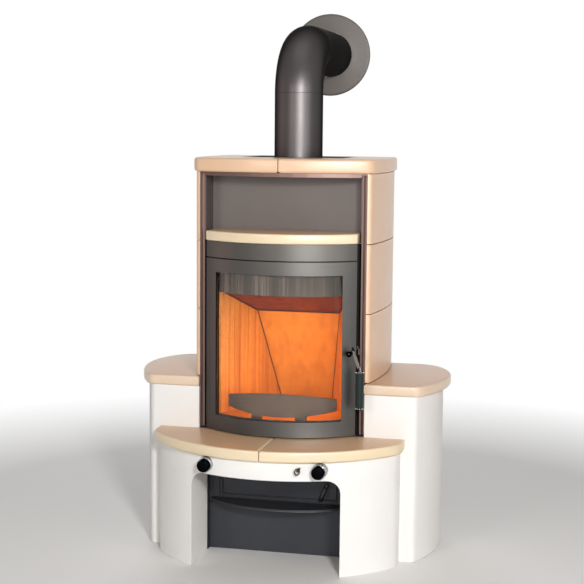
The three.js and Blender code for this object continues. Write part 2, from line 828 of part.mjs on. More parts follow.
function makeFirebox() {
  const t = fireWall;
  const plan = fireboxPlan(fireFrontRadius, fireHalfWidth, fireBackY);
  const shell = prism(plan, fireBottom, fireTop - t - fit);
  const inside = prism(
    fireboxPlan(fireFrontRadius - t, fireHalfWidth - t, fireBackY - t), fireBottom + t, fireTop,
  );
  const mouth = block(
    -mouthHalfWidth, mouthHalfWidth, -fireFrontRadius - pastFace, 0, mouthBottom, mouthTop,
  );
  const inwards = block(
    -mouthHalfWidth - pastFace, mouthHalfWidth + pastFace, -fireHalfWidth / 2, 0, mouthBottom - pastFace,
    mouthTop + pastFace,
  );
  const chute = block(
    -grateHalfWidth, grateHalfWidth, grateFrontY - shakeTravel, grateBackY, 0, fireBottom + pastFace,
  );
  const latchRelief = block(
    gasketHalfWidth - t, fireHalfWidth - t, doorFrontY, latchBackY + t,
    spindleZ - 2 * hubRadius, spindleZ + latchReach + hubRadius,
  );
  add("firebox_body", cut(shell, inside, cut(mouth, inwards), chute, latchRelief), darkSteel);

  const inner = pipeRadius - pipeWall - fit;
  const spigot = cylinderAlongZ(0, 0, inner, fireTop - t, fireTop + spigotHeight, pipeSides);
  const bore = cylinderAlongZ(
    0, 0, inner - spigotWall, fireTop - pastFace, fireTop + 2 * spigotHeight, pipeSides,
  );
  add("firebox_cover", cut(joined(prism(plan, fireTop - t, fireTop), spigot), bore), darkSteel);
}

// Half width between the side linings at one depth.
function liningX(y) {
  return liningFrontX - liningSlope * (y - liningFrontY);
}

function baffleZ(y) {
  return baffleBackZ + baffleRise * (baffleBackY - y);
}

function backLiningY(z) {
  return backFootY - backLean * (z - hearthTop);
}

function makeLinings() {
  const low = hearthTop + fit;
  const high = baffleZ(baffleFrontY) + liningThickness;
  const endY = backFootY + liningThickness;
  const t = liningThickness;
  const underBaffle = frontToBackWedge(low, high, fit);
  for (const [name, side] of sides) {
    const points = [
      point(liningFrontX, liningFrontY), point(liningFrontX + t, liningFrontY),
      point(liningX(endY) + t, endY), point(liningX(endY), endY),
    ];
    const board = prism(mirrored(points, side), low, high);
    const leaning = leaningBoard(
      -fit, t + 2 * fit + pastFace, fireHalfWidth, low - pastFace, high + pastFace,
    );
    const pieces = cut(board, leaning).decompose();
    const front = pieces.reduce((a, b) => (a.volume() > b.volume() ? a : b));
    add(`lining_${name}`, front.intersect(underBaffle), vermiculite);
  }
  const back = leaningBoard(0, t, fireHalfWidth, low, baffleBackZ + t);
  const room = prism(fireboxPlan(
    fireFrontRadius - 2 * fireWall, fireHalfWidth - fireWall - fit, fireBackY - fireWall - fit,
  ), low, baffleBackZ + t);
  add("lining_back", back.intersect(room), vermiculite);
}

// The room below the baffle, seen from the side.
function frontToBackWedge(low, high, gap) {
  const front = -fireHalfWidth;
  const back = fireBackY;
  const outline = [
    point(front, low - pastFace), point(back, low - pastFace),
    point(back, baffleZ(back) - gap), point(front, baffleZ(front) - gap),
  ];
  return sidePrism(outline, fireHalfWidth);
}

// A prism whose outline is drawn in Y and Z and which runs from left to right.
function sidePrism(points, halfWidth) {
  const geometry = prismGeometry(points, -halfWidth, halfWidth);
  const matrix = new THREE.Matrix4().makeBasis(
    new THREE.Vector3(0, 1, 0), new THREE.Vector3(0, 0, 1), new THREE.Vector3(1, 0, 0),
  );
  return solid(geometry.applyMatrix4(matrix));
}

// The leaning back board, as a slab between two depths behind its inner face.
function leaningBoard(from, to, halfWidth, low, high) {
  const outline = [
    point(backLiningY(low) + from, low), point(backLiningY(low) + to, low),
    point(backLiningY(high) + to, high), point(backLiningY(high) + from, high),
  ];
  return sidePrism(outline, halfWidth);
}

function makeBaffle() {
  const t = liningThickness;
  const backEnd = baffleBackY - baffleGap;
  const outline = [
    point(baffleFrontY, baffleZ(baffleFrontY)), point(backEnd, baffleZ(backEnd)),
    point(backEnd, baffleZ(backEnd) + t), point(baffleFrontY, baffleZ(baffleFrontY) + t),
  ];
  const plate = sidePrism(outline, fireHalfWidth - fireWall - fit);
  const behindBack = leaningBoard(
    -fit, 4 * pastFace, fireHalfWidth, hearthTop, baffleBackZ + t + pastFace,
  );
  add("baffle_plate", cut(plate, behindBack), vermiculite);
}

function makeHearth() {
  const gap = fireWall + fit;
  const low = fireBottom + gap;
  const slab = prism(
    fireboxPlan(fireFrontRadius - gap, fireHalfWidth - gap, fireBackY - gap), low, hearthTop,
  );
  const well = block(
    -grateHalfWidth - fit, grateHalfWidth + fit, grateFrontY - shakeTravel - fit, grateBackY + fit,
    hearthTop - grateThickness - fit, hearthTop + pastFace,
  );
  const hole = block(
    -grateHalfWidth + grateSeat, grateHalfWidth - grateSeat, grateFrontY - shakeTravel + grateSeat,
    grateBackY - grateSeat, low - pastFace, hearthTop,
  );
  add("hearth_floor", cut(slab, well, hole), vermiculite);
}

function makeGrate() {
  const plate = block(
    -grateHalfWidth, grateHalfWidth, grateFrontY, grateBackY, hearthTop - grateThickness,
    hearthTop - grateDrop,
  );
  const pitch = (2 * grateHalfWidth) / (grateSlots + 1);
  const slots = Array.from({ length: grateSlots }, (_, i) => {
    const x = -grateHalfWidth + pitch * (i + 1);
    const halfWidth = pitch / 4;
    return block(
      x - halfWidth, x + halfWidth, grateFrontY + grateRim, grateBackY - grateRim, 0, hearthTop + pastFace,
    );
  });
  const socket = cylinderAlongZ(
    0, shakerFingerY, shakerRod + boreClearance, 0, hearthTop - fingerCover, 12,
  );
  add("grate", cut(plate, ...slots.filter((_, i) => i !== (grateSlots - 1) / 2), socket), castIron);
}

function makeDeflector() {
  const outer = fireFrontRadius - fireWall - fit;
  const shell = doorShell(
    outer, outer - deflectorThickness, mouthHalfWidth + pastFace, deflectorBottom, mouthTop + pastFace,
  );
  add("air_deflector", shell, darkSteel);
}

function makeGuard() {
  const shell = doorShell(
    guardRadius, guardRadius - guardThickness, guardHalfWidth, hearthTop + fit, mouthTop,
  );
  const middle = guardBottom + guardHeight / 2;
  const bow = (sign) => Array.from({ length: 13 }, (_, i) => {
    const t = -1 + (2 * i) / 12;
    const half = guardHeight / 2 - ((guardHeight - guardEndHeight) / 2) * t * t;
    return point(t * (guardHalfWidth + 1), middle + sign * half);
  });
  const blade = frontPrism([...bow(-1), ...bow(1).reverse()], -doorRadius, 0);
  const feet = [-1, 1].map((side) => {
    const x = side * guardFootX;
    return block(x - guardFootWidth / 2, x + guardFootWidth / 2, -doorRadius, 0, hearthTop, middle);
  });
  add("log_guard", shell.intersect(joined(blade, ...feet)), castIron);
}

// ------------------------------------------------------------------- the door
function windowShell(outer, inner, halfWidth, low, high, border) {
  const ring = doorShell(outer, inner, halfWidth, low, high);
  const hole = block(
    -halfWidth + border, halfWidth - border, -doorRadius - pastFace, 0, low + border, high - border,
  );
  return cut(ring, hole);
}

function makeDoor() {
  const frame = doorShell(doorRadius, doorBackRadius, doorHalfWidth, doorBottom, doorTop);
  const window = block(
    -windowHalfWidth, windowHalfWidth, -doorRadius - pastFace, 0, windowBottom, windowTop,
  );
  const lip = windowLip + fit;
  const rebate = doorShell(
    doorRadius - glassDepth, doorBackRadius - 1, windowHalfWidth + lip, windowBottom - lip, windowTop + lip,
  );
  const behindHinge = block(
    -doorHalfWidth - 1, hingeX, hingeReliefY, 0, doorBottom - 1, doorTop + 1,
  );
  const notchEnd = -doorHalfWidth + notchWidth;
  const notchPlan = [
    ...frontArc(doorRadius - doorSkin, doorCentreY, -doorHalfWidth - 1, notchEnd),
    point(notchEnd, 0), point(-doorHalfWidth - 1, 0),
  ];
  const lowNotch = prism(notchPlan, doorBottom - 1, doorBottom + hingeNotch);
  const highNotch = prism(notchPlan, doorTop - hingeNotch, doorTop + 1);
  const pinRoom = hingePin + pinClearance;
  const lowBore = cylinderAlongZ(hingeX, hingeY, pinRoom, doorBottom, doorBottom + pinBoreDepth, 16);
  const highBore = cylinderAlongZ(hingeX, hingeY, pinRoom, doorTop - pinBoreDepth, doorTop, 16);
  const spindleBore = cylinderAlongY(
    spindleX, spindleZ, spindleRadius + pinClearance, -doorRadius, 0, 16,
  );
  const latchPocket = block(
    spindleX - hubRadius, doorHalfWidth + 1, latchBackY - latchThickness - 2, 0,
    spindleZ - 2 * hubRadius, spindleZ + latchReach + hubRadius,
  );
  const hingeRoom = [behindHinge, lowNotch, highNotch, lowBore, highBore];
  add("door_frame", cut(frame, window, rebate, ...hingeRoom, spindleBore, latchPocket), darkSteel);

  const glassFront = doorRadius - glassDepth - fit;
  const glassBack = glassFront - glassThickness;
  const pane = [windowHalfWidth + windowLip, windowBottom - windowLip, windowTop + windowLip];
  add("door_glass", doorShell(glassFront, glassBack, ...pane), ceramicGlass);
  const retainer = windowShell(glassBack - fit, doorBackRadius, ...pane, retainerWidth);
  add("glass_retainer", retainer, brightSteel);
  add(
    "door_gasket",
    windowShell(
      doorBackRadius - fit, gasketBackRadius, gasketHalfWidth, gasketBottom, gasketTop, gasketWidth,
    ),
    ropeGrey,
  );
}

function makeHinges() {
  const seatY = doorCentreY - Math.sqrt(fireFrontRadius ** 2 - (hingeX + hingeArm) ** 2);
  const places = [["bottom", doorBottom + hingeGap, 0], ["top", doorTop - hingeGap - hingeLug, -pinReach]];
  for (const [name, low, pinDrop] of places) {
    const high = low + hingeLug;
    const front = cylinderAlongZ(hingeX, hingeY, hingeHead, low, high, 16);
    const arm = block(hingeX - weld, hingeX + hingeArm, hingeY, seatY + pastFace, low, high);
    const fireFront = prism(
      fireboxPlan(fireFrontRadius + fit, fireHalfWidth + 1, fireBackY), low - 1, high + 1,
    );
    const pinLow = low + pinDrop;
    const pin = cylinderAlongZ(hingeX, hingeY, hingePin, pinLow, pinLow + hingeLug + pinReach, 16);
    add(`hinge_${name}`, joined(cut(joined(front, arm), fireFront), pin), brightSteel);
  }
}

function makeLatch() {
  const y0 = latchBackY - latchThickness;
  const stemFront = doorCentreY - Math.sqrt(doorRadius ** 2 - spindleX ** 2) - handleStandoff;
  const stem = cylinderAlongY(spindleX, spindleZ, spindleRadius, stemFront, latchBackY, 16);
  const hub = cylinderAlongY(spindleX, spindleZ, spindleRadius + weld, y0, latchBackY, 16);
  const angle = (latchAngle * Math.PI) / 180;
  const across = point(-Math.sin(angle), Math.cos(angle)).multiplyScalar(latchNose / 2);
  const along = point(Math.cos(angle), Math.sin(angle)).multiplyScalar(latchReach - latchNose / 2);
  const centre = point(spindleX, spindleZ);
  const end = centre.clone().add(along);
  const tip = Array.from({ length: 7 }, (_, i) => {
    const turn = angle - Math.PI / 2 + (Math.PI * i) / 6;
    return point(end.x + (latchNose / 2) * Math.cos(turn), end.y + (latchNose / 2) * Math.sin(turn));
  });
  const nose = frontPrism(
    [centre.clone().sub(across), ...tip, centre.clone().add(across)], y0, latchBackY,
  );
  add("latch_spindle", joined(stem, hub, nose), brightSteel);

  const keeperTop = spindleZ + keeperDrop;
  const keeper = block(
    postInnerX - keeperReach, postInnerX - fit, y0 - fit - keeperThickness, y0 - fit,
    keeperTop - keeperHeight, keeperTop,
  );
  add("latch_keeper", keeper, brightSteel);
}

function makeHandle() {
  const surfaceY = doorCentreY - Math.sqrt(doorRadius ** 2 - spindleX ** 2);
  const planeY = surfaceY - handleStandoff;
  const gripX = spindleX + armDropX;
  const gripTop = spindleZ - armDropZ;
  const gripBottom = gripTop - gripLength;
  const stemBore = spindleRadius + pinClearance;
  const hub = turnedAlongY(
    [[stemBore, -hubFront], [hubRadius - 2, -hubFront], [hubRadius, -hubFront / 2],
      [hubRadius, hubBack / 2], [hubRadius - 3, hubBack], [stemBore, hubBack], [stemBore, -hubFront]],
    16, spindleX, planeY, spindleZ,
  );
  const path = new THREE.CatmullRomCurve3([
    new THREE.Vector3(spindleX + 2, planeY, spindleZ + 20),
    new THREE.Vector3(spindleX + 9, planeY, spindleZ + 2),
    new THREE.Vector3(gripX - 8, planeY, gripTop + 20),
    new THREE.Vector3(gripX, planeY, gripTop),
    new THREE.Vector3(gripX, planeY, gripBottom - ringLength),
  ], false, "catmullrom", 0.2);
  const arm = bar(path, armRadius, 8, 14);
  const ring = (top) => cylinderAlongZ(gripX, planeY, ringRadius, top - ringLength, top, 16);
  const neckProfile = [[0, 0], [2 * armRadius, 0], [armRadius + weld / 2, neckHeight], [0, neckHeight]];
  const neck = turned(neckProfile, 16).translate([gripX, planeY, gripTop]);
  const stemRoom = cylinderAlongY(
    spindleX, spindleZ, stemBore, planeY - pastFace, planeY + pastFace, 16,
  );
  add(
    "handle_lever",
    cut(joined(arm, hub, ring(gripTop), neck, ring(gripBottom)), stemRoom),
    brightSteel,
  );
  const bore = armRadius + fit;
  const low = gripBottom + fit;
  const high = gripTop - ringLength - fit;
  const grip = turned([
    [bore, low], [gripRadius - gripEdge, low], [gripRadius, low + 2 * gripEdge],
    [gripRadius, high - 2 * gripEdge], [gripRadius - gripEdge, high], [bore, high], [bore, low],
  ], 20).translate([gripX, planeY, 0]);
  add("handle_grip", grip, gripGreen);
}

// -------------------------------------------------------------------- the flue
function makeFlue() {
  const inner = pipeRadius - pipeWall;
  const pipe = turned([
    [inner, fireTop + fit], [pipeRadius, fireTop + fit], [pipeRadius, pipeSeam - fit],
    [inner, pipeSeam - fit], [inner, fireTop + fit],
  ], pipeSides);
  add("flue_pipe_upright", pipe, pipeSteel);

  add("flue_elbow", bentPipe(bendRadius, pipeRadius, inner, pipeSides, elbowRings), pipeSteel);

  const start = bendRadius + fit;
  const level = turnedAlongY([
    [inner, 0], [pipeRadius, 0], [pipeRadius, wallY - start], [inner, wallY - start], [inner, 0],
  ], pipeSides, 0, start, flueHeight);
  add("flue_pipe_level", level, pipeSteel);

  const r0 = pipeRadius + fit;
  const rosette = turnedAlongY([
    [r0, 0], [r0 + rosetteBevel, 0], [rosetteRadius - rosetteBevel, rosetteRim],
    [rosetteRadius, 2 * rosetteRim], [rosetteRadius, rosetteThickness], [r0, rosetteThickness], [r0, 0],
  ], pipeSides + 8, 0, wallY - rosetteThickness, flueHeight);
  add("wall_rosette", rosette, rosetteGrey);
}

// A quarter bend of pipe from upright to level: rings of two circles.
function bentPipe(radius, outer, inner, around, along) {
  const positions = [];
  const index = [];
  for (let i = 0; i <= along; i += 1) {
    const turn = (Math.PI / 2) * (i / along);
    for (const r of [outer, inner]) {
      for (let k = 0; k < around; k += 1) {
        const angle = (2 * Math.PI * k) / around;
        const reach = radius - r * Math.cos(angle);
        positions.push(
          r * Math.sin(angle), radius - reach * Math.cos(turn), pipeSeam + reach * Math.sin(turn),
        );
      }
    }
  }
  const at = (i, wall, k) => (2 * i + wall) * around + (k % around);
  const quad = (a, b, c, d) => index.push(a, c, b, a, d, c);
  for (let k = 0; k < around; k += 1) {
    for (let i = 0; i < along; i += 1) {
      quad(at(i, 0, k), at(i, 0, k + 1), at(i + 1, 0, k + 1), at(i + 1, 0, k));
      quad(at(i, 1, k), at(i + 1, 1, k), at(i + 1, 1, k + 1), at(i, 1, k + 1));
    }
    quad(at(0, 0, k), at(0, 1, k), at(0, 1, k + 1), at(0, 0, k + 1));
    quad(at(along, 0, k), at(along, 0, k + 1), at(along, 1, k + 1), at(along, 1, k));
  }
  const geometry = new THREE.BufferGeometry();
  geometry.setAttribute("position", new THREE.Float32BufferAttribute(positions, 3));
  geometry.setIndex(index);
  return solid(geometry);
}

// -------------------------------------------------------------- the ash drawer
function makeAshDrawer() {
  const w = drawerHalfWidth;
  const edge = drawerField;
  const top = drawerBottom + drawerHeight;
  const plate = block(-w, w, drawerBackY, drawerBackY + drawerFront, drawerBottom, top);
  const field = block(
    -w + edge, w - edge, drawerBackY - 1, drawerBackY + drawerLineDepth, drawerBottom + edge, top - edge,
  );
  const raised = block(
    -w + edge + drawerBead, w - edge - drawerBead, drawerBackY, drawerBackY + drawerLineDepth + weld,
    drawerBottom + edge + drawerBead, top - edge - drawerBead,
  );
  const leverBore = cylinderAlongY(
    leverX, drawerBottom + leverBoss, leverRadius + pinClearance, drawerBackY - 1,
    baseFrontY + pastFace, 16,
  );
  add("ash_drawer_front", cut(joined(cut(plate, field), raised), leverBore), darkSteel);

  const frontY = drawerBackY + drawerFront + fit;
  const low = ledgeTop + fit;
  const high = low + panHeight;
  const pan = block(-panHalfWidth, panHalfWidth, frontY, frontY + panLength, low, high);
  const hollow = block(
    -panHalfWidth + panWall, panHalfWidth - panWall, frontY + panWall, frontY + panLength - panWall,
    low + panWall, high + pastFace,
  );
  const leverRoom = cylinderAlongY(
    leverX, drawerBottom + leverBoss, leverRadius + pinClearance, frontY - 1, frontY + pastFace, 16,
  );
  add("ash_pan", cut(pan, hollow, leverRoom), brightSteel);
}

function makeLever() {
  const z = drawerBottom + leverBoss;
  const path = new THREE.CatmullRomCurve3([
    new THREE.Vector3(leverX, drawerBackY + drawerFront + 5, z),
    new THREE.Vector3(leverX, drawerBackY - leverReach / 3, z),
    new THREE.Vector3(leverX + leverLean / 9, drawerBackY - (2 / 3) * leverReach, z + leverRise / 6),
    new THREE.Vector3(leverX + (3 / 4) * leverLean, drawerBackY - leverReach + 6, z + (3 / 4) * leverRise),
    new THREE.Vector3(leverX + leverLean, drawerBackY - leverReach, z + leverRise),
  ], false, "catmullrom", 0.3);
  add("ash_lever", bar(path, leverRadius, 10, 14), darkSteel);
}

// ------------------------------------------------------------ the air controls
function makeAirControls() {
  for (const [name, side] of sides) {
    const x = side * knobX;
    const ribs = Array.from({ length: 2 * collarRibs }, (_, i) => {
      const angle = (Math.PI * i) / collarRibs;
      const radius = i % 2 ? collarRadius : collarRadius - ribDepth;
      return point(x + radius * Math.cos(angle), knobZ + radius * Math.sin(angle));
    });
    const barrel = frontPrism(ribs, collarFrontY, wallFaceY - pastFace);
    const wallPlan = benchOutline(benchRadius + fit, benchHalfWidth + fit, benchCorner);
    const wall = prism(wallPlan, -pastFace, benchHeight + pastFace);
    const bore = cylinderAlongY(x, knobZ, rodRadius + boreClearance, collarFrontY - 1, wallFaceY);
    add(`air_collar_${name}`, cut(barrel, wall, bore), brightSteel);

    const cap = turnedAlongY([
      [0, 0], [knobRadius - 2, 0], [knobRadius, 2], [knobRadius, knobLength - 3],
      [knobRadius + 1.5, knobLength], [0, knobLength],
    ], 24, x, knobFrontY, knobZ);
    const fin = block(
      x - knobFin / 2, x + knobFin / 2, knobFrontY - 2, knobFrontY + knobLength - 2,
      knobZ + knobRadius / 3, knobZ + knobRadius + 3,
    );
    add(`air_knob_${name}`, joined(cap, fin), blackCap);

    const inner = baseFrontY + baseWall + 2 * fit;
    const rod = cylinderAlongY(x, knobZ, rodRadius, knobFrontY + knobLength + fit, inner + valveRodEnd, 12);
    const disc = cylinderAlongY(x, knobZ, valveRadius, inner, inner + valveThickness, 20);
    const ports = [-valveHoleOffset, valveHoleOffset].map((rise) => cylinderAlongY(
      x, knobZ + rise, valveHoleRadius, inner - 1, inner + valveThickness + 1, 12,
    ));
    add(`air_valve_${name}`, joined(cut(disc, ...ports), rod), brightSteel);
  }
}

// ------------------------------------------------------------- the shaker rod
function makeShaker() {
  const z = shakerZ;
  const end = hearthTop - fingerCover - fit;
  const path = new THREE.CatmullRomCurve3([
    new THREE.Vector3(shakerX, shakerFrontY + 2 * eyeRadius - eyeWire, z),
    new THREE.Vector3(shakerX, shakerStraightY, z),
    new THREE.Vector3(shakerX, shakerFingerY - 3 * shakerBend, z),
    new THREE.Vector3(shakerX - shakerBend, shakerFingerY - shakerBend, z + 2),
    new THREE.Vector3(shakerX / 2, shakerFingerY, z + shakerBend / 2),
    new THREE.Vector3(shakerBend, shakerFingerY, z + shakerBend),
    new THREE.Vector3(0, shakerFingerY, z + 2 * shakerBend),
    new THREE.Vector3(0, shakerFingerY, (z + end) / 2),
    new THREE.Vector3(0, shakerFingerY, end),
  ], false, "centripetal");
  const rod = bar(path, shakerRod, 8, 24);
  const ring = new THREE.TorusGeometry(eyeRadius - eyeWire, eyeWire, 7, 14)
    .rotateY(Math.PI / 2)
    .translate(shakerX, shakerFrontY + eyeRadius, z);
  add("shaker_rod", joined(rod, solid(ring)), brightSteel);
}

makeBench();
makeBenchSlabs();
makeWings();
makeTiles();
makeTop();
makeDeck();
makeJacket();
makePosts();
makeNiche();
makeFascia();
makeBase();
makeFirebox();
makeLinings();
makeBaffle();
makeHearth();
makeGrate();
makeDeflector();
makeGuard();
makeDoor();
makeHinges();
makeLatch();
makeHandle();
makeFlue();
makeAshDrawer();
makeLever();
makeAirControls();
makeShaker();

export default stove;
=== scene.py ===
import math

import bmesh
import bpy
from mathutils import Matrix, Vector


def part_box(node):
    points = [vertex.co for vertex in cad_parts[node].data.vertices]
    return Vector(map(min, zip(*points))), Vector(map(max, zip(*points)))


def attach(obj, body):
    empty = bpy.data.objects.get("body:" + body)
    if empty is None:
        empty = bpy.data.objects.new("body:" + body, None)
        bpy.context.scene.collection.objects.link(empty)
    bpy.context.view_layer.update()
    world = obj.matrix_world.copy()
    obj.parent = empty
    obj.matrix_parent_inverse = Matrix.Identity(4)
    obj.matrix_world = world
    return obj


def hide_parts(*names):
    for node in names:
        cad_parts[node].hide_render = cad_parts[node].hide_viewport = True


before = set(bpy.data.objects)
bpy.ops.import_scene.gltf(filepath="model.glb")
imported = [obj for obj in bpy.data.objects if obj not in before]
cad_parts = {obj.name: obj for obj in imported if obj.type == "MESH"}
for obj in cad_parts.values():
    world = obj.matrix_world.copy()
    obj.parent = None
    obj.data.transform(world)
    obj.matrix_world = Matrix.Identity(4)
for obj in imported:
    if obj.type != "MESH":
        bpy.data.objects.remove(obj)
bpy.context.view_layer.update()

MM = 0.001
EDGE_TONE = 0.2  # reflection of painted steel at a low angle, against a plain metal


def box_mm(node):
    """Lowest and highest corner of a CAD node, in millimetres."""
    low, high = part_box(node)
    return low / MM, high / MM


def new_object(name, data):
    """An object in the scene that carries the data."""
    thing = bpy.data.objects.new(name, data)
    bpy.context.scene.collection.objects.link(thing)
    return thing


# ---- sizes (mm)
ARC_STEP = 8  # length of one facet of a curved outline
SAME_POINT = 1e-3
WELD = 1e-4  # points nearer than this become one
CLEAR = 1.5  # a curve stops this many roundings short of a rounded corner
PAST = 50  # how far a cutter runs past the shape that it cuts
GAP = 0.3
FAR_FRONT = -400  # a depth in front of everything that stands behind the bench
TUBE_STEPS = 8  # stretches between two points of a bent bar
SMOOTH_ANGLE = 35  # degrees; sharper edges stay hard
BEVEL_ANGLE = 40
BENCH_RADIUS = 448
BENCH_WALL = 39
BENCH_CORNER = 16
STORE_HALF_WIDTH = 223.5
STORE_HEIGHT = 288
STORE_CORNER = 40
STORE_RELIEF = 0.4  # sideways, from the opening to the room behind it
SLAB_EDGE = 7
SLAB_OVERHANG = 18
SLAB_TIP_CORNER = 22
WING_CORNER = (410, -217)
WING_WIDEST = (464, 5)
WING_BACK = (395, 180)
WING_ROUNDING = (14, 28)
WING_SLAB_OVERHANG = 23
WING_SLAB_ROUNDING = (20, 40)
TILE_FRONT = (268, -209)
TILE_WIDEST = (288, 20)
TILE_BACK = (270, 205)
TILE_INNER_X = 256.3
TILE_CORNER = 12
TILE_EDGE = 3.5
TILE_JOINT = 1.2
TILE_FOOT = 2.6  # open joint under the lowest tile
TOP_OVERHANG = 7
TOP_CORNER = 24
TOP_EDGE = 8
TOP_JOINT = 3
DOOR_RADIUS = 351
DOOR_FRONT_Y = -310
DOOR_THICKNESS = 20
WINDOW_HALF_WIDTH = 193.5
WINDOW_BOTTOM = 427
WINDOW_TOP = 862
PANE_LIP = 7.3
PANE_DEPTH = 7
PANE_THICKNESS = 4
REAR_INSET = (3, 9)  # from the door's outline to its rear layer, sideways and in height
LAYER_OVERLAP = 0.02
LATCH_ROOM = (9, 18, 33)  # beside, below and above the spindle
LATCH_ROOM_Y = -203
HINGE_ROOM = (9, 10)  # outwards and inwards from the door's left edge
HINGE_ROOM_Y = -205.5
GASKET_DEPTH = 8.7
FRAME_WIDTH = 24
FRAME_GAP = 3.6
FRAME_SIDE_DEPTH = 26
FRAME_LIP = 2
FRAME_DROP = 4
FRAME_RISE = 40  # how far its side lips run up past the wood store's opening
PRESSED_LINE = ((7, 0), (1.6, -4.4), (3.4, 0), (1.6, 4.4))  # steps inwards and in depth
FASCIA_THICKNESS = 4
LEDGE_TOP = 8  # from the node's top down to the ledge's underside
SHELF_PROUD = 3
SHELF_EDGE = 5
POST_BEAD = 3
POST_BEAD_X = 249.5
NICHE_WALL = 2
NICHE_SEAM = 1.5
BOARD_FOOT = (86.3, 155, 415)  # where the side lining, the back lining and the hearth meet
BOARD_CORNER = (133.7, 19.4, 716.4)  # where both linings meet the baffle
BOARD_FRONT = (193, -150, 789.2)  # where the side lining meets the baffle's front edge
# radii of the dark tubes painted as shade along the firebox's seams
BOARD_SHADE_RADIUS = 2
BAFFLE_SHADE_RADIUS = 3.6
GUARD_RADIUS = 291
GUARD_THICKNESS = 7
GUARD_FOOT = (51, 85)
GUARD_HALF_HEIGHT = 35.5
GUARD_HALF_END = 17
PIPE_RADIUS = 75
PIPE_WALL = 2
PIPE_SEAM = 1399
FLUE_HEIGHT = 1540
HANDLE_PIVOT = (216, 632)
HANDLE_PLANE_Y = -261.7
DOOR_GAP_TO_HANDLE = 27
GRIP_REACH = 34
GRIP_TOP = 578
GRIP_BOTTOM = 473.5
BEADS = 14
BEAD_RADIUS = 1.9
BEAD_CIRCLE = 12.2
KNOB_X = 169
KNOB_Z = 320
KNOB_RADIUS = 18.5
KNOB_DEPTH = 13
FIN_HALF_WIDTH = 2.2
COLLAR_RIBS = 36
COLLAR_RIB_DEPTH = 1.1
COLLAR_LENGTH = 42
SHAKER_X = 109
SHAKER_RADIUS = 4
SHAKER_BACK_Y = -60
LEVER_X = 132
LEVER_RADIUS = 6
EYE_RADIUS = 8.4
EYE_WIRE = 2.4
EYE_Y = -463.8
EYE_TURN = 42  # degrees that the eye's plane is turned out of the rod's line

DOOR_CENTRE_Y = DOOR_FRONT_Y + DOOR_RADIUS
BEND_RADIUS = FLUE_HEIGHT - PIPE_SEAM
SIDES = (("left", -1), ("right", 1))


# ---- camera
CAMERA_PLACE = (954.9, -4215.6, 1293.2)
CAMERA_FORWARD = (-0.22308, 0.96761, -0.11814)
CAMERA_RIGHT = (0.97417, 0.22563, 0.00853)
CAMERA_LENS = 85.25


def make_camera():
    """The photograph's place and view angles, fitted to the stove's edges."""
    forward = Vector(CAMERA_FORWARD).normalized()
    right = Vector(CAMERA_RIGHT)
    right = (right - forward * right.dot(forward)).normalized()
    up = right.cross(forward)
    data = bpy.data.cameras.new("camera")
    data.lens = CAMERA_LENS
    data.clip_end = 60
    camera = new_object("camera", data)
    turn = Matrix((right, up, -forward)).transposed()
    camera.matrix_world = Matrix.Translation(Vector(CAMERA_PLACE) * MM) @ turn.to_4x4()
    bpy.context.scene.camera = camera


# ---- studio light
def area_light(name, place, target, size, power, colour=(1, 1, 1), mirrored=True, diffuse=True):
    """A rectangular lamp; one that isn't `diffuse` shows only as a sheen."""
    data = bpy.data.lights.new(name, "AREA")
    data.shape = "RECTANGLE"
    data.size, data.size_y = size
    data.energy = power
    data.color = colour
    light = new_object(name, data)
    light.visible_glossy = mirrored
    light.visible_diffuse = diffuse
    aim = (Vector(target) - Vector(place)).to_track_quat("-Z", "Y")
    light.matrix_world = Matrix.Translation(place) @ aim.to_matrix().to_4x4()


def make_fire_light():
    """A warm lamp where the fire burns, which shows only in what it lights."""
    data = bpy.data.lights.new("fire", "POINT")
    data.energy = 1.25
    data.color = (1, 0.4, 0.08)
    data.shadow_soft_size = 0.05
    lamp = new_object("fire", data)
    lamp.location = (0.02, -0.13, 0.545)
    lamp.visible_camera = False
    lamp.visible_glossy = False
    lamp.visible_transmission = False


def make_studio():
    area_light("key", (1.7, -4.1, 2.05), (0, 0, 0.85), (0.45, 0.45), 121)
    area_light("sheen", (1.25, -4.4, 1.6), (0, 0, 0.95), (2.0, 1.7), 80, diffuse=False)
    area_light("wide_sheen", (2.4, -4.0, 1.5), (0, 0, 0.9), (6.0, 2.2), 160, diffuse=False)
    area_light("fill", (-1.5, -3.9, 1.6), (0, 0, 0.8), (0.9, 1.0), 24, (1, 0.95, 0.91))
    area_light(
        "warm_left", (-2.5, -0.8, 1.1), (0, 0, 0.8), (0.9, 2.0), 7, (1, 0.5, 0.42), diffuse=False,
    )
    area_light(
        "warm_right", (2.8, -2.0, 1.1), (0, 0, 0.8), (0.9, 1.6), 13, (1, 0.84, 0.74),
        mirrored=False,
    )
    area_light("overhead", (0.1, -0.5, 3.2), (0, 0, 0.6), (1.6, 1.4), 6)
    area_light("back", (-1.6, 3.6, 2.2), (0, 0.2, 0.9), (2.0, 2.0), 60, mirrored=False)
    make_fire_light()

    world = bpy.data.worlds.new("studio")
    bpy.context.scene.world = world
    world.use_nodes = True
    tree = world.node_tree
    tree.nodes.clear()
    choice = tree.nodes.new("ShaderNodeMixShader")
    tree.links.new(seen_rays(tree), choice.inputs[0])
    for socket, colour, strength in ((1, (0.97, 0.98, 1, 1), 0.12), (2, (1, 1, 1, 1), 1)):
        background = tree.nodes.new("ShaderNodeBackground")
        background.inputs["Color"].default_value = colour
        background.inputs["Strength"].default_value = strength
        tree.links.new(background.outputs[0], choice.inputs[socket])
    output = tree.nodes.new("ShaderNodeOutputWorld")
    tree.links.new(choice.outputs[0], output.inputs["Surface"])


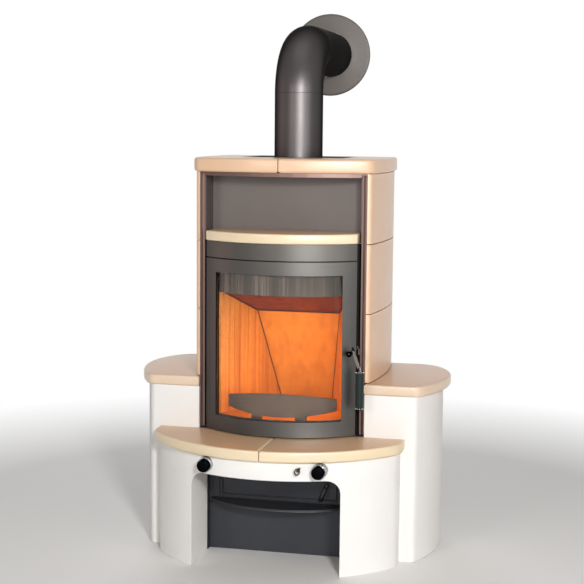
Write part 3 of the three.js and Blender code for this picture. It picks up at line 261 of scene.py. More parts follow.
def seen_rays(tree):
    """One socket that is 1 where the camera, a reflection or glass looks."""
    rays = tree.nodes.new("ShaderNodeLightPath")
    total = rays.outputs["Is Camera Ray"]
    for name in ("Is Glossy Ray", "Is Transmission Ray"):
        sum_node = tree.nodes.new("ShaderNodeMath")
        sum_node.operation = "ADD"
        sum_node.use_clamp = True
        tree.links.new(total, sum_node.inputs[0])
        tree.links.new(rays.outputs[name], sum_node.inputs[1])
        total = sum_node.outputs[0]
    return total


def make_floor():
    """A pale floor that fades to white away from the stove."""
    bm = bmesh.new()
    bmesh.ops.create_grid(bm, x_segments=1, y_segments=1, size=12)
    floor = as_object(placed(bm, z=-0.0005), "floor")
    look = Finish("pale_floor", (0.86, 0.85, 0.83), 0.55)
    distance = look.add("ShaderNodeTexGradient", gradient_type="SPHERICAL")
    spread = look.add("ShaderNodeMapping")
    spread.inputs["Scale"].default_value = (0.42, 0.42, 0.42)
    look.link(look.coordinates, spread.inputs["Vector"])
    look.link(spread.outputs[0], distance.inputs["Vector"])
    near = look.ramp(distance.outputs["Fac"], (0.0, 0.0), (0.45, 1.0))
    far = look.add("ShaderNodeMath", operation="SUBTRACT")
    far.inputs[0].default_value = 1
    look.link(near, far.inputs[1])
    glow = look.add("ShaderNodeMath", operation="MULTIPLY")
    look.link(far.outputs[0], glow.inputs[0])
    look.link(seen_rays(look.tree), glow.inputs[1])
    white = look.add("ShaderNodeEmission")
    white.inputs["Strength"].default_value = 1
    blend = look.add("ShaderNodeMixShader")
    look.link(glow.outputs[0], blend.inputs[0])
    look.link(look.shader.outputs[0], blend.inputs[1])
    look.link(white.outputs[0], blend.inputs[2])
    look.link(blend.outputs[0], look.output.inputs["Surface"])
    floor.data.materials.append(look.material)


# ---- materials
class Finish:
    """A Principled material with object coordinates at hand."""

    def __init__(self, name, colour, roughness, metallic=0.0, **sockets):
        self.material = bpy.data.materials.new(name)
        self.material.use_nodes = True
        self.tree = self.material.node_tree
        self.tree.nodes.clear()
        self.output = self.add("ShaderNodeOutputMaterial")
        self.shader = self.add("ShaderNodeBsdfPrincipled")
        self.link(self.shader.outputs[0], self.output.inputs["Surface"])
        self.coordinates = self.add("ShaderNodeTexCoord").outputs["Object"]
        self.shader.inputs["Base Color"].default_value = (*colour, 1)
        self.shader.inputs["Roughness"].default_value = roughness
        self.shader.inputs["Metallic"].default_value = metallic
        for socket, value in sockets.items():
            self.shader.inputs[socket.replace("_", " ")].default_value = value
        self.height = None

    def add(self, kind, **settings):
        node = self.tree.nodes.new(kind)
        for name, value in settings.items():
            setattr(node, name, value)
        return node

    def link(self, output, socket):
        self.tree.links.new(output, socket)

    def noise(self, scale, detail=3.0, roughness=0.5, stretch=(1, 1, 1)):
        """Noise between 0 and 1; scale counts features per metre."""
        node = self.add("ShaderNodeTexNoise")
        node.inputs["Scale"].default_value = scale
        node.inputs["Detail"].default_value = detail
        node.inputs["Roughness"].default_value = roughness
        source = self.coordinates
        if stretch != (1, 1, 1):
            mapping = self.add("ShaderNodeMapping")
            mapping.inputs["Scale"].default_value = stretch
            self.link(source, mapping.inputs["Vector"])
            source = mapping.outputs[0]
        self.link(source, node.inputs["Vector"])
        return node.outputs["Fac"]

    def ramp(self, factor, *stops):
        """Maps a value through (position, grey) or (position, colour) stops."""
        node = self.add("ShaderNodeValToRGB")
        elements = node.color_ramp.elements
        while len(elements) < len(stops):
            elements.new(0.5)
        for element, (position, tone) in zip(elements, stops):
            element.position = position
            element.color = (*tone, 1) if isinstance(tone, tuple) else (tone, tone, tone, 1)
        self.link(factor, node.inputs[0])
        return node.outputs["Color"]

    def mix(self, factor, first, second):
        """Blends two colours; each value is a socket, a number or a colour."""
        node = self.add("ShaderNodeMix", data_type="RGBA")
        values = ((node.inputs[0], factor), (node.inputs[6], first), (node.inputs[7], second))
        for socket, value in values:
            if isinstance(value, bpy.types.NodeSocket):
                self.link(value, socket)
            else:
                socket.default_value = (*value, 1) if isinstance(value, tuple) else value
        return node.outputs[2]

    def colour(self, socket):
        self.link(socket, self.shader.inputs["Base Color"])

    def roughness(self, factor, low, high):
        node = self.add("ShaderNodeMapRange")
        node.inputs["To Min"].default_value = low
        node.inputs["To Max"].default_value = high
        self.link(factor, node.inputs["Value"])
        self.link(node.outputs[0], self.shader.inputs["Roughness"])

    def bump(self, height, strength, distance):
        """Adds one layer of bump over the layers made before; distance in mm."""
        node = self.add("ShaderNodeBump")
        node.inputs["Strength"].default_value = strength
        node.inputs["Distance"].default_value = distance * MM
        self.link(height, node.inputs["Height"])
        if self.height is not None:
            self.link(self.height, node.inputs["Normal"])
        self.height = node.outputs[0]
        self.link(self.height, self.shader.inputs["Normal"])


def glaze(name, pale, deep, roughness, painted_top_shade=None):
    """Glazed ceramic: cloudy colour, fine specks and a slightly wavy gloss.
    Its last tone is a deeper one painted on the faces that look upwards, as painted shade on the
    tops."""
    look = Finish(
        name, pale, roughness, Coat_Weight=0.2, Coat_Roughness=0.12, Specular_IOR_Level=0.4,
    )
    cloud = look.noise(6, 4, 0.6)
    tone = look.mix(look.ramp(cloud, (0.3, 0.0), (0.72, 1.0)), pale, deep)
    # faces that look upwards turn to the deeper tone: painted shade on the tops
    if painted_top_shade:
        facing = look.add("ShaderNodeSeparateXYZ")
        look.link(look.add("ShaderNodeNewGeometry").outputs["Normal"], facing.inputs[0])
        tone = look.mix(look.ramp(facing.outputs["Z"], (0.6, 0.0), (0.95, 1.0)), tone, painted_top_shade)
    speck = look.ramp(look.noise(520, 2, 0.6), (0.64, 0.0), (0.76, 1.0))
    darker = look.mix(speck, tone, tuple(value * 0.62 for value in deep))
    look.colour(look.mix(0.16, tone, darker))
    look.roughness(look.noise(26, 3), roughness - 0.04, roughness + 0.08)
    look.bump(look.noise(14, 2), 0.18, 1.0)
    look.bump(look.noise(240, 2), 0.05, 0.12)
    return look.material


def plaster(name, colour):
    """Painted smooth plaster with a faint trowel unevenness."""
    look = Finish(name, colour, 0.62, Specular_IOR_Level=0.25)
    shade = tuple(value * 0.965 for value in colour)
    look.colour(look.mix(look.ramp(look.noise(5, 5, 0.6), (0.35, 0.0), (0.7, 1.0)), colour, shade))
    look.roughness(look.noise(60, 4), 0.52, 0.7)
    look.bump(look.noise(9, 3), 0.2, 1.5)
    look.bump(look.noise(700, 4, 0.7), 0.1, 0.2)
    return look.material


def painted_steel(
    name, colour, roughness, metallic=1.0, grain=(1, 1, 1), strength=0.03, edge=EDGE_TONE,
):
    """Metallic stove paint on steel: fine grain and slightly uneven sheen. Its
    edges stay dark, as a coat of pigment flakes does at a low angle."""
    look = Finish(name, colour, roughness, metallic, Specular_Tint=(edge, edge, edge, 1))
    shade = tuple(value * 0.88 for value in colour)
    look.colour(look.mix(look.ramp(look.noise(5, 4), (0.3, 0.0), (0.7, 1.0)), colour, shade))
    look.roughness(look.noise(90, 4, 0.6, grain), roughness - 0.04, roughness + 0.06)
    look.bump(look.noise(900, 2, 0.6, grain), strength, 0.06)
    return look.material


def firelit_board(name, pale, deep, soot_and_shade, lines=0.12, streak_scale=30, depth=0.55):
    """Porous firebrick board with the streaks that fire and soot leave; `lines`
    is how much they are drawn out upwards, from 1 for round marks down to 0."""
    look = Finish(name, pale, 0.95)
    # the pale and deep tones hold painted firelight: given as orange as the fire makes the boards
    # look, deeper than their own tan
    grain = look.mix(look.ramp(look.noise(60, 5, 0.7), (0.35, 0.0), (0.65, 1.0)), pale, deep)
    streaks = look.ramp(look.noise(streak_scale, 4, 0.6, (1, 1, lines)), (0.45, 0.0), (0.75, depth))
    look.colour(look.mix(streaks, grain, soot_and_shade))
    look.bump(look.noise(300, 4, 0.7), 0.4, 0.7)
    look.bump(look.noise(45, 2, 0.5, (1, 1, 0.04)), 0.35, 1.5)
    return look.material


def streaked_steel(name, colour, pale):
    """Steel behind the glass, with upright streaks of ash and heat."""
    look = Finish(name, colour, 0.6, 0.3)
    fine = look.ramp(look.noise(150, 3, 0.6, (1, 1, 0.015)), (0.35, 0.0), (0.7, 1.0))
    broad = look.ramp(look.noise(16, 2, 0.5, (1, 1, 0.05)), (0.42, 0.1), (0.62, 1.0))
    look.colour(look.mix(broad, colour, look.mix(fine, colour, pale)))
    look.roughness(look.noise(150, 3, 0.6, (1, 1, 0.015)), 0.5, 0.75)
    look.bump(look.noise(400, 3, 0.6), 0.1, 0.2)
    return look.material


def cast(name, colour, metallic=0.3, depth=0.5):
    """Cast iron with a sandy skin."""
    look = Finish(name, colour, 0.7, metallic)
    pale = tuple(min(1, value * 1.25) for value in colour)
    look.colour(look.mix(look.ramp(look.noise(130, 5, 0.7), (0.4, 0.0), (0.7, 1.0)), colour, pale))
    look.roughness(look.noise(200, 3), 0.6, 0.8)
    look.bump(look.noise(450, 4, 0.7), depth, 0.4)
    return look.material


def rope_look(name, colour):
    """Braided glass-fibre rope, grey from use."""
    look = Finish(name, colour, 0.95)
    braid = look.add("ShaderNodeTexWave", wave_type="BANDS", bands_direction="DIAGONAL")
    braid.inputs["Scale"].default_value = 90
    look.link(look.coordinates, braid.inputs["Vector"])
    dark = tuple(value * 0.5 for value in colour)
    look.colour(look.mix(braid.outputs["Fac"], dark, colour))
    look.bump(braid.outputs["Fac"], 0.6, 1.0)
    return look.material


def make_finishes():
    looks = {
        "tile": glaze("tile_glaze", (0.79, 0.54, 0.355), (0.74, 0.49, 0.315), 0.34),
        # the last tone of each slab glaze is painted shade for faces that look upwards
        "slab": glaze(
            "slab_glaze", (0.83, 0.69, 0.48), (0.78, 0.64, 0.43), 0.33, (0.72, 0.45, 0.26),
        ),
        "wing_slab": glaze(
            "wing_slab_glaze", (0.77, 0.61, 0.46), (0.72, 0.56, 0.41), 0.33, (0.7, 0.46, 0.3),
        ),
        "plaster": plaster("white_plaster", (0.86, 0.85, 0.83)),
        "door": painted_steel("anthracite_steel", (0.082, 0.078, 0.073), 0.4),
        "post": painted_steel("brown_steel", (0.12, 0.078, 0.068), 0.42),
        "niche": painted_steel("niche_steel", (0.13, 0.113, 0.105), 0.5, 0.4),
        "pipe": painted_steel("pipe_steel", (0.068, 0.062, 0.062), 0.38, grain=(1, 1, 0.15)),
        "rosette": painted_steel("rosette_grey", (0.13, 0.12, 0.11), 0.55, 0.4),
        "casing": painted_steel("casing_steel", (0.07, 0.066, 0.066), 0.5),
        "base": painted_steel("base_steel", (0.05, 0.052, 0.06), 0.45, 0.5),
        "bright": painted_steel("bright_steel", (0.42, 0.42, 0.43), 0.26, edge=0.8),
        "satin": painted_steel("satin_nickel", (0.14, 0.118, 0.105), 0.36),
        "sheet": painted_steel("zinc_sheet", (0.2, 0.2, 0.205), 0.5, 0.6, strength=0.0),
        "screw": painted_steel("dark_steel_wire", (0.1, 0.09, 0.085), 0.36, 0.9),
        # the boards' tones are painted firelight, deeper orange than the boards' own tan
        "board": firelit_board(
            "firebrick_board", (0.66, 0.265, 0.035), (0.58, 0.21, 0.026), (0.34, 0.105, 0.02),
        ),
        "side_board": firelit_board(
            "side_board", (0.66, 0.275, 0.04), (0.58, 0.21, 0.026), (0.3, 0.085, 0.02),
            lines=0.02, streak_scale=75, depth=1.0,
        ),
        "baffle": firelit_board(
            "baffle_board", (0.25, 0.06, 0.025), (0.14, 0.032, 0.018), (0.05, 0.016, 0.01), lines=1,
        ),
        "deflector": streaked_steel("deflector_steel", (0.04, 0.033, 0.028), (0.21, 0.175, 0.135)),
        "guard": cast("guard_iron", (0.086, 0.058, 0.04), 0.2, 0.15),
        "iron": cast("grate_iron", (0.06, 0.05, 0.045)),
        # painted shade for the seams between the firebox boards
        "soot_and_shade": cast("painted_corner_shade", (0.022, 0.014, 0.01), 0.0),
        "grip": painted_steel("grip_paint", (0.018, 0.028, 0.025), 0.36, 0.1),
        "knob": painted_steel("knob_black", (0.003, 0.003, 0.0035), 0.42),
        "rope": rope_look("rope_seal", (0.2, 0.19, 0.18)),
    }
    pane = Finish("ceramic_pane", (1, 1, 1), 0.02, Transmission_Weight=1.0, IOR=1.2)
    pane.colour(pane.ramp(pane.noise(9, 3), (0.3, (0.94, 0.93, 0.92)), (0.75, (1.0, 1.0, 1.0))))
    pane.roughness(pane.noise(14, 3), 0.0, 0.04)
    looks["pane"] = pane.material
    return looks


# ---- modelling tools
def outwards(bm):
    bmesh.ops.recalc_face_normals(bm, faces=bm.faces)


def trace(bm, *steps):
    """Draws a closed plan outline and returns its face. Steps are
    ("line", x, y), ("corner", x, y, rounding) and ("arc", x, y, degrees),
    the last a turn of the point reached so far about (x, y)."""
    first = last = None
    rounded = []
    for kind, x, y, *extra in steps:
        if kind == "arc":
            reach = (last.co - Vector((x, y, 0))).length
            length = math.radians(abs(extra[0])) * reach
            swept = bmesh.ops.spin(
                bm, geom=[last], cent=(x, y, 0), axis=(0, 0, 1), angle=math.radians(extra[0]),
                steps=max(2, round(length / ARC_STEP)),
            )
            last = next(v for v in swept["geom_last"] if isinstance(v, bmesh.types.BMVert))
            continue
        new = bm.verts.new((x, y, 0))
        if kind == "corner":
            rounded.append((new, extra[0]))
        if last is not None:
            bm.edges.new((last, new))
        last = new
        first = first or new
    if (last.co - first.co).length > SAME_POINT:
        bm.edges.new((last, first))
    else:
        bmesh.ops.remove_doubles(bm, verts=bm.verts, dist=SAME_POINT)
    bmesh.ops.contextual_create(bm, geom=bm.edges[:])
    for corner, radius in rounded:
        bmesh.ops.bevel(
            bm, geom=[corner], offset=radius, segments=5, affect="VERTICES", profile=0.5,
            material=-1, offset_type="OFFSET",
        )
    return bm.faces[:][0]


def front_arc(radius, centre_y, x0, x1, rounding=0.0):
    """Steps along a circle about (0, centre_y) that bulges to the front."""
    short = math.copysign(CLEAR * rounding / radius, x1 - x0)
    start = math.asin(x0 / radius) + short
    end = math.asin(x1 / radius) - short
    return [
        ("line", radius * math.sin(start), centre_y - radius * math.cos(start)),
        ("arc", 0, centre_y, math.degrees(end - start)),
    ]


def front_y(radius, centre_y, x):
    """Depth of such a circle at one x."""
    return centre_y - math.sqrt(radius ** 2 - x ** 2)


def half_front(radius, centre_y, joint, tip, rounding):
    """Steps along such a circle from a middle joint almost to a rounded tip."""
    sweep = math.asin(tip / radius) - math.asin(joint / radius) - CLEAR * rounding / radius
    return [
        ("line", joint, front_y(radius, centre_y, joint)),
        ("arc", 0, centre_y, math.degrees(sweep)),
    ]


def side_bulge(front, widest, back, front_rounding, back_rounding):
    """Steps from a front corner round the widest place to a back corner."""
    steps = []
    for (x, y), rounding, sign in ((front, front_rounding, 1), (back, back_rounding, -1)):
        dx, dy = widest[0] - x, widest[1] - y
        radius = (dx * dx + dy * dy) / (2 * dx)
        sweep = math.degrees(math.asin(abs(dy) / radius) - CLEAR * rounding / radius)
        centre_x = widest[0] - radius
        turn = math.radians(sweep)
        if sign > 0:
            start = (centre_x + radius * math.cos(turn), widest[1] - radius * math.sin(turn))
            steps.append(("line", *start))
        steps.append(("arc", centre_x, widest[1], sweep))
    return steps


def prism(steps, low, high, edge=0.0, segments=4):
    """A bmesh prism over a plan outline, its rims rounded by `edge`."""
    bm = bmesh.new()
    face = trace(bm, *steps)
    grown = bmesh.ops.extrude_face_region(bm, geom=[face])
    top = [v for v in grown["geom"] if isinstance(v, bmesh.types.BMVert)]
    bmesh.ops.translate(bm, vec=(0, 0, high - low), verts=top)
    outwards(bm)
    placed(bm, z=low)
    if edge:
        rims = [
            e for e in bm.edges
            if any(all(abs(v.co.z - z) < SAME_POINT for v in e.verts) for z in (low, high))
        ]
        bmesh.ops.bevel(
            bm, geom=rims, offset=edge, segments=segments, affect="EDGES", profile=0.5, material=-1,
            clamp_overlap=True,
        )
    return bm


def block(x0, x1, y0, y1, z0, z1):
    """A box between two places on each axis."""
    bm = bmesh.new()
    bmesh.ops.create_cube(bm, size=1)
    bmesh.ops.scale(bm, vec=(x1 - x0, y1 - y0, z1 - z0), verts=bm.verts)
    return placed(bm, (x0 + x1) / 2, (y0 + y1) / 2, (z0 + z1) / 2)


def turned(profile, steps=48, closed=False):
    """A solid turned about Z from (radius, height) pairs."""
    bm = bmesh.new()
    verts = [bm.verts.new((radius, 0, height)) for radius, height in profile]
    edges = [bm.edges.new(pair) for pair in zip(verts, verts[1:])]
    if closed:
        edges.append(bm.edges.new((verts[-1], verts[0])))
    bmesh.ops.spin(
        bm, geom=verts + edges, cent=(0, 0, 0), axis=(0, 0, 1), angle=2 * math.pi, steps=steps,
        use_merge=True,
    )
    bmesh.ops.remove_doubles(bm, verts=bm.verts, dist=WELD)
    outwards(bm)
    return bm


def ball(radius, x, y, z, detail=3):
    bm = bmesh.new()
    bmesh.ops.create_icosphere(bm, subdivisions=detail, radius=radius)
    return placed(bm, x, y, z)


def tube(points, radius, rounded_tip=False):
    """A round bar through the points, in a smooth curve."""
    path = [Vector(p) for p in points]
    path = [2 * path[0] - path[1], *path, 2 * path[-1] - path[-2]]
    curve = bpy.data.curves.new("path", "CURVE")
    curve.dimensions = "3D"
    curve.bevel_depth = radius
    curve.bevel_resolution = 6
    curve.use_fill_caps = True
    spline = curve.splines.new("POLY")
    places = [
        smooth_point(path[i:i + 4], step / TUBE_STEPS)
        for i in range(len(path) - 3) for step in range(TUBE_STEPS)
    ] + [path[-2]]
    spline.points.add(len(places) - 1)
    for target, place in zip(spline.points, places):
        target.co = (*place, 1)
    carrier = bpy.data.objects.new("path", curve)
    mesh = bpy.data.meshes.new_from_object(carrier)
    bm = bmesh.new()
    bm.from_mesh(mesh)
    bpy.data.objects.remove(carrier)
    bpy.data.curves.remove(curve)
    bpy.data.meshes.remove(mesh)
    bmesh.ops.remove_doubles(bm, verts=bm.verts, dist=WELD)
    outwards(bm)
    return merged(bm, ball(radius, *places[-1])) if rounded_tip else bm


def smooth_point(four, t):
    """A point between the middle two of four points, on a Catmull-Rom curve."""
    a, b, c, d = four
    return 0.5 * (2 * b + (c - a) * t + (2 * a - 5 * b + 4 * c - d) * t ** 2
                  + (3 * b - a - 3 * c + d) * t ** 3)


def placed(bm, x=0.0, y=0.0, z=0.0, lying=False, mirrored=False):
    """Moves a mesh to its place; `lying` turns its Z axis to the wall."""
    if lying:
        down = Matrix.Rotation(-math.pi / 2, 3, "X")
        bmesh.ops.rotate(bm, cent=(0, 0, 0), matrix=down, verts=bm.verts)
    bmesh.ops.translate(bm, vec=(x, y, z), verts=bm.verts)
    if mirrored:
        bmesh.ops.scale(bm, vec=(-1, 1, 1), verts=bm.verts)
        outwards(bm)
    return bm


def merged(*parts):
    """One mesh of several closed shells."""
    whole = parts[0]
    for part in parts[1:]:
        scratch = bpy.data.meshes.new("scratch")
        part.to_mesh(scratch)
        whole.from_mesh(scratch)
        bpy.data.meshes.remove(scratch)
        part.free()
    return whole


def as_object(bm, name):
    mesh = bpy.data.meshes.new(name)
    bm.to_mesh(mesh)
    bm.free()
    return new_object(name, mesh)


def carved(bm, *cutters, keep_common=False):
    """The mesh with the cutters' shapes taken away, or only what they share."""
    body = as_object(bm, "carving")
    for cutter in cutters:
        tool = as_object(cutter, "cutter")
        cut = body.modifiers.new("cut", "BOOLEAN")
        cut.operation = "INTERSECT" if keep_common else "DIFFERENCE"
        cut.solver = "EXACT"
        cut.object = tool
        evaluated = body.evaluated_get(bpy.context.evaluated_depsgraph_get())
        result = bpy.data.meshes.new_from_object(evaluated)
        body.modifiers.remove(cut)
        old = body.data
        body.data = result
        bpy.data.meshes.remove(old)
        bpy.data.objects.remove(tool)
    out = bmesh.new()
    out.from_mesh(body.data)
    bpy.data.objects.remove(body)
    return out


def finished(bm, name, look, body, *nodes, edge=0.0):
    """Ends a piece: in metres, shaded, dressed, riding on its body in place of
    the CAD nodes that it shows."""
    bmesh.ops.scale(bm, vec=(MM, MM, MM), verts=bm.verts)
    piece = as_object(bm, name)
    piece.data.shade_smooth()
    piece.data.set_sharp_from_angle(angle=math.radians(SMOOTH_ANGLE))
    piece.data.materials.append(finishes[look])
    if edge:
        bevel = piece.modifiers.new("edges", "BEVEL")
        bevel.width = edge * MM
        bevel.segments = 2
        bevel.limit_method = "ANGLE"
        bevel.angle_limit = math.radians(BEVEL_ANGLE)
        bevel.harden_normals = True
    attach(piece, body)
    if nodes:
        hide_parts(*nodes)


def door_plan(outer, inner, x0, x1):
    """Plan of a shell that follows the door's curve."""
    return [*front_arc(outer, DOOR_CENTRE_Y, x0, x1), *front_arc(inner, DOOR_CENTRE_Y, x1, x0)]


def door_shell(outer, inner, low, high):
    """Such a shell, as wide and high as the box between two corners."""
    return prism(door_plan(outer, inner, low.x, high.x), low.z, high.z)


def arched(half_width, low, high, corner, front, back):
    """A cutter with rounded upper corners, running from front to back."""
    bm = prism([
        ("line", -half_width, -low), ("corner", -half_width, -high, corner),
        ("corner", half_width, -high, corner), ("line", half_width, -low),
    ], front, back)
    return placed(bm, lying=True)


# ---- the masonry
def bench_plan(radius, half_width, corner, back):
    """A bow in front between two rounded corners, and straight ends behind."""
    centre_y = box_mm("bench_body")[0].y + BENCH_RADIUS
    end_y = front_y(radius, centre_y, half_width)
    return [
        ("line", -half_width, back), ("corner", -half_width, end_y, corner),
        *front_arc(radius, centre_y, -half_width, half_width, corner),
        ("corner", half_width, end_y, corner), ("line", half_width, back),
    ]


def make_bench():
    """The curved wall round the wood store, and the two slabs that lie on it."""
    low, high = box_mm("bench_body")
    centre_y = low.y + BENCH_RADIUS
    wall = prism(bench_plan(BENCH_RADIUS, high.x, BENCH_CORNER, high.y), 0, high.z)
    doorway = arched(
        STORE_HALF_WIDTH, -PAST, STORE_HEIGHT, STORE_CORNER, low.y - PAST, high.y + PAST,
    )
    reach = STORE_HALF_WIDTH + STORE_RELIEF
    room = prism([
        *front_arc(BENCH_RADIUS - BENCH_WALL, centre_y, -reach, reach),
        ("line", reach, high.y + PAST), ("line", -reach, high.y + PAST),
    ], -PAST, high.z + PAST)
    wall = carved(wall, doorway, room)
    finished(wall, "bench_masonry", "plaster", "stove", "bench_body", edge=2.5)

    slab_low, slab_high = box_mm("bench_slab_right")
    radius = BENCH_RADIUS + SLAB_OVERHANG
    half_width = slab_high.x
    joint = slab_low.x
    for name, side in SIDES:
        plan = [
            *half_front(radius, centre_y, joint, half_width, SLAB_TIP_CORNER),
            ("corner", half_width, front_y(radius, centre_y, half_width), SLAB_TIP_CORNER),
            ("line", half_width, slab_high.y), ("line", joint, slab_high.y),
        ]
        slab = placed(prism(plan, slab_low.z, slab_high.z, SLAB_EDGE, 5), mirrored=side < 0)
        finished(slab, f"bench_top_{name}", "slab", "stove", f"bench_slab_{name}")


def wing_plan(low, high, corner, widest, rear, rounding):
    """A wing's outline: straight at the stove, bulging on its outer side."""
    front, back = rounding
    return [
        ("line", low.x, low.y), ("corner", *corner, front),
        *side_bulge(corner, widest, rear, front, back),
        ("corner", *rear, back), ("line", low.x, high.y),
    ]


def make_wings():
    """The two side walls and the slabs that lie on them."""
    for name, side in SIDES:
        low, high = box_mm("wing_body_right")
        plan = wing_plan(low, high, WING_CORNER, WING_WIDEST, WING_BACK, WING_ROUNDING)
        wing = placed(prism(plan, 0, high.z), mirrored=side < 0)
        finished(wing, f"wing_{name}", "plaster", "stove", f"wing_body_{name}", edge=2)

        low, high = box_mm("wing_slab_right")
        over = WING_SLAB_OVERHANG
        plan = wing_plan(
            low, high, (WING_CORNER[0] + over / 3, low.y), (WING_WIDEST[0] + over, WING_WIDEST[1]),
            (WING_BACK[0] + over / 2, high.y), WING_SLAB_ROUNDING,
        )
        slab = placed(prism(plan, low.z, high.z, SLAB_EDGE, 5), mirrored=side < 0)
        finished(slab, f"wing_top_{name}", "wing_slab", "stove", f"wing_slab_{name}")


# ---- tiles and top
def make_tiles():
    """Glazed tiles with soft edges; the dark joint between them stays open."""
    for name, side in SIDES:
        for row in (1, 2, 3):
            node = f"tile_{name}_{row}"
            low, high = box_mm(node)
            plan = [
                ("line", TILE_INNER_X, TILE_FRONT[1]), ("corner", *TILE_FRONT, TILE_CORNER),
                *side_bulge(TILE_FRONT, TILE_WIDEST, TILE_BACK, TILE_CORNER, 0),
                ("line", TILE_INNER_X, TILE_BACK[1]),
            ]
            foot = TILE_FOOT if row == 1 else TILE_JOINT
            tile = prism(plan, low.z + foot, high.z - TILE_JOINT, TILE_EDGE, 4)
            tile = placed(tile, mirrored=side < 0)
            finished(tile, f"{node}_glazed", "tile", "stove", node)


def make_top():
    """Two glazed plates that meet in the middle, with an opening for the pipe."""
    low, high = box_mm("top_plate_right")
    opening = box_mm("top_insert")
    over = TOP_OVERHANG
    corner = (TILE_FRONT[0] + over, TILE_FRONT[1] - over)
    widest = (TILE_WIDEST[0] + over, TILE_WIDEST[1])
    rear = (TILE_BACK[0] + over, high.y)
    sag = corner[1] - low.y
    radius = (corner[0] ** 2 + sag ** 2) / (2 * sag)
    centre_y = low.y + radius
    joint = TOP_JOINT / 2
    for name, side in SIDES:
        plan = [
            *half_front(radius, centre_y, joint, corner[0], TOP_CORNER),
            ("corner", *corner, TOP_CORNER),
            *side_bulge(corner, widest, rear, TOP_CORNER, TOP_CORNER),
            ("corner", *rear, TOP_CORNER), ("line", joint, rear[1]),
        ]
        plate = prism(plan, low.z, high.z, TOP_EDGE, 5)
        hole = block(
            -1, opening[1].x + GAP, opening[0].y - GAP, opening[1].y + GAP,
            low.z - PAST, high.z + PAST,
        )
        plate = placed(carved(plate, hole), mirrored=side < 0)
        finished(plate, f"top_{name}", "tile", "stove", f"top_plate_{name}")


# ---- door and its kin
def make_door():
    """The leaf in two layers, its pane, and the rings that hold and seal that."""
    low, high = box_mm("door_frame")
    skin = door_shell(DOOR_RADIUS, DOOR_RADIUS - PANE_DEPTH, low, high)
    half = WINDOW_HALF_WIDTH
    skin = carved(skin, block(-half, half, FAR_FRONT, 0, WINDOW_BOTTOM, WINDOW_TOP))
    inset_x, inset_z = REAR_INSET
    back = DOOR_RADIUS - DOOR_THICKNESS
    front = DOOR_RADIUS - PANE_DEPTH + LAYER_OVERLAP
    rear = prism(
        door_plan(front, back, low.x + inset_x, high.x - inset_x),
        low.z + inset_z, high.z - inset_z,
    )
    lip = half + PANE_LIP
    recess = block(-lip, lip, FAR_FRONT, 0, WINDOW_BOTTOM - PANE_LIP, WINDOW_TOP + PANE_LIP)
    beside, below, above = LATCH_ROOM
    x, z = HANDLE_PIVOT
    latch = block(x - beside, high.x + beside, LATCH_ROOM_Y, 0, z - below, z + above)
    outside, inside = HINGE_ROOM
    behind_hinge = block(low.x - outside, low.x + inside, HINGE_ROOM_Y, 0, low.z, high.z)
    rear = carved(rear, recess, latch, behind_hinge)
    finished(merged(skin, rear), "door_leaf", "door", "door", "door_frame", edge=1.0)

    low, high = box_mm("door_glass")
    radius = DOOR_RADIUS - PANE_DEPTH - GAP
    pane = door_shell(radius, radius - PANE_THICKNESS, low, high)
    finished(pane, "door_pane", "pane", "door", "door_glass")

    for node, look, outer, inner, border in (
        ("glass_retainer", "iron", radius - PANE_THICKNESS - GAP, back, 9),
        ("door_gasket", "rope", back - GAP, back - GASKET_DEPTH, 12),
    ):
        low, high = box_mm(node)
        ring = door_shell(outer, inner, low, high)
        hole = block(low.x + border, high.x - border, FAR_FRONT, 0, low.z + border, high.z - border)
        finished(carved(ring, hole), f"{node}_ring", look, "door", node, edge=0.8)


def curved_plate(node, radius, low_z, high_z, edge=0.0):
    """A level plate with the door's curve in front and the node's ends."""
    low, high = box_mm(node)
    return prism([
        *front_arc(radius, DOOR_CENTRE_Y, low.x, high.x),
        ("line", high.x, high.y), ("line", low.x, high.y),
    ], low_z, high_z, edge)


def make_fascia():
    """The steel above the door, the shelf of the niche and the ledge below."""
    low, high = box_mm("fascia_panel")
    sheet = FASCIA_THICKNESS
    front = door_shell(DOOR_RADIUS, DOOR_RADIUS - sheet, low, high)
    top = curved_plate("fascia_panel", DOOR_RADIUS - sheet - 0.1, high.z - sheet, high.z)
    finished(merged(front, top), "fascia", "door", "stove", "fascia_panel", edge=0.8)

    low, high = box_mm("shelf_plate")
    radius = DOOR_RADIUS + SHELF_PROUD
    shelf = curved_plate("shelf_plate", radius, low.z, high.z, SHELF_EDGE)
    finished(shelf, "niche_shelf", "slab", "stove", "shelf_plate")

    low, high = box_mm("base_ledge")
    plate = curved_plate("base_ledge", radius - 0.5, high.z - LEDGE_TOP, high.z - LEDGE_TOP / 2)
    finished(plate, "ledge", "base", "stove", "base_ledge", edge=0.6)
    rim = prism(door_plan(radius, radius - 3, low.x, high.x), low.z + 3, high.z - LEDGE_TOP)
    finished(rim, "ledge_rim", "door", "stove", edge=1.2)


def make_niche():
    """Five panels, with narrow open seams round the back one."""
    low, high = box_mm("niche_liner")
    wall, seam = NICHE_WALL, NICHE_SEAM
    back = block(low.x + wall, high.x - wall, high.y - wall, high.y, low.z, high.z - wall - seam)
    roof = block(low.x, high.x, low.y, high.y, high.z - wall, high.z)
    floor = block(low.x, high.x, low.y, high.y, low.z, low.z + wall)
    cheeks = [
        block(
            *sorted((side * (high.x - wall), side * high.x)), low.y, high.y - wall - seam,
            low.z + wall, high.z - wall - seam,
        )
        for _, side in SIDES
    ]
    panels = merged(back, roof, floor, *cheeks)
    finished(panels, "niche_panels", "niche", "stove", "niche_liner", edge=0.3)


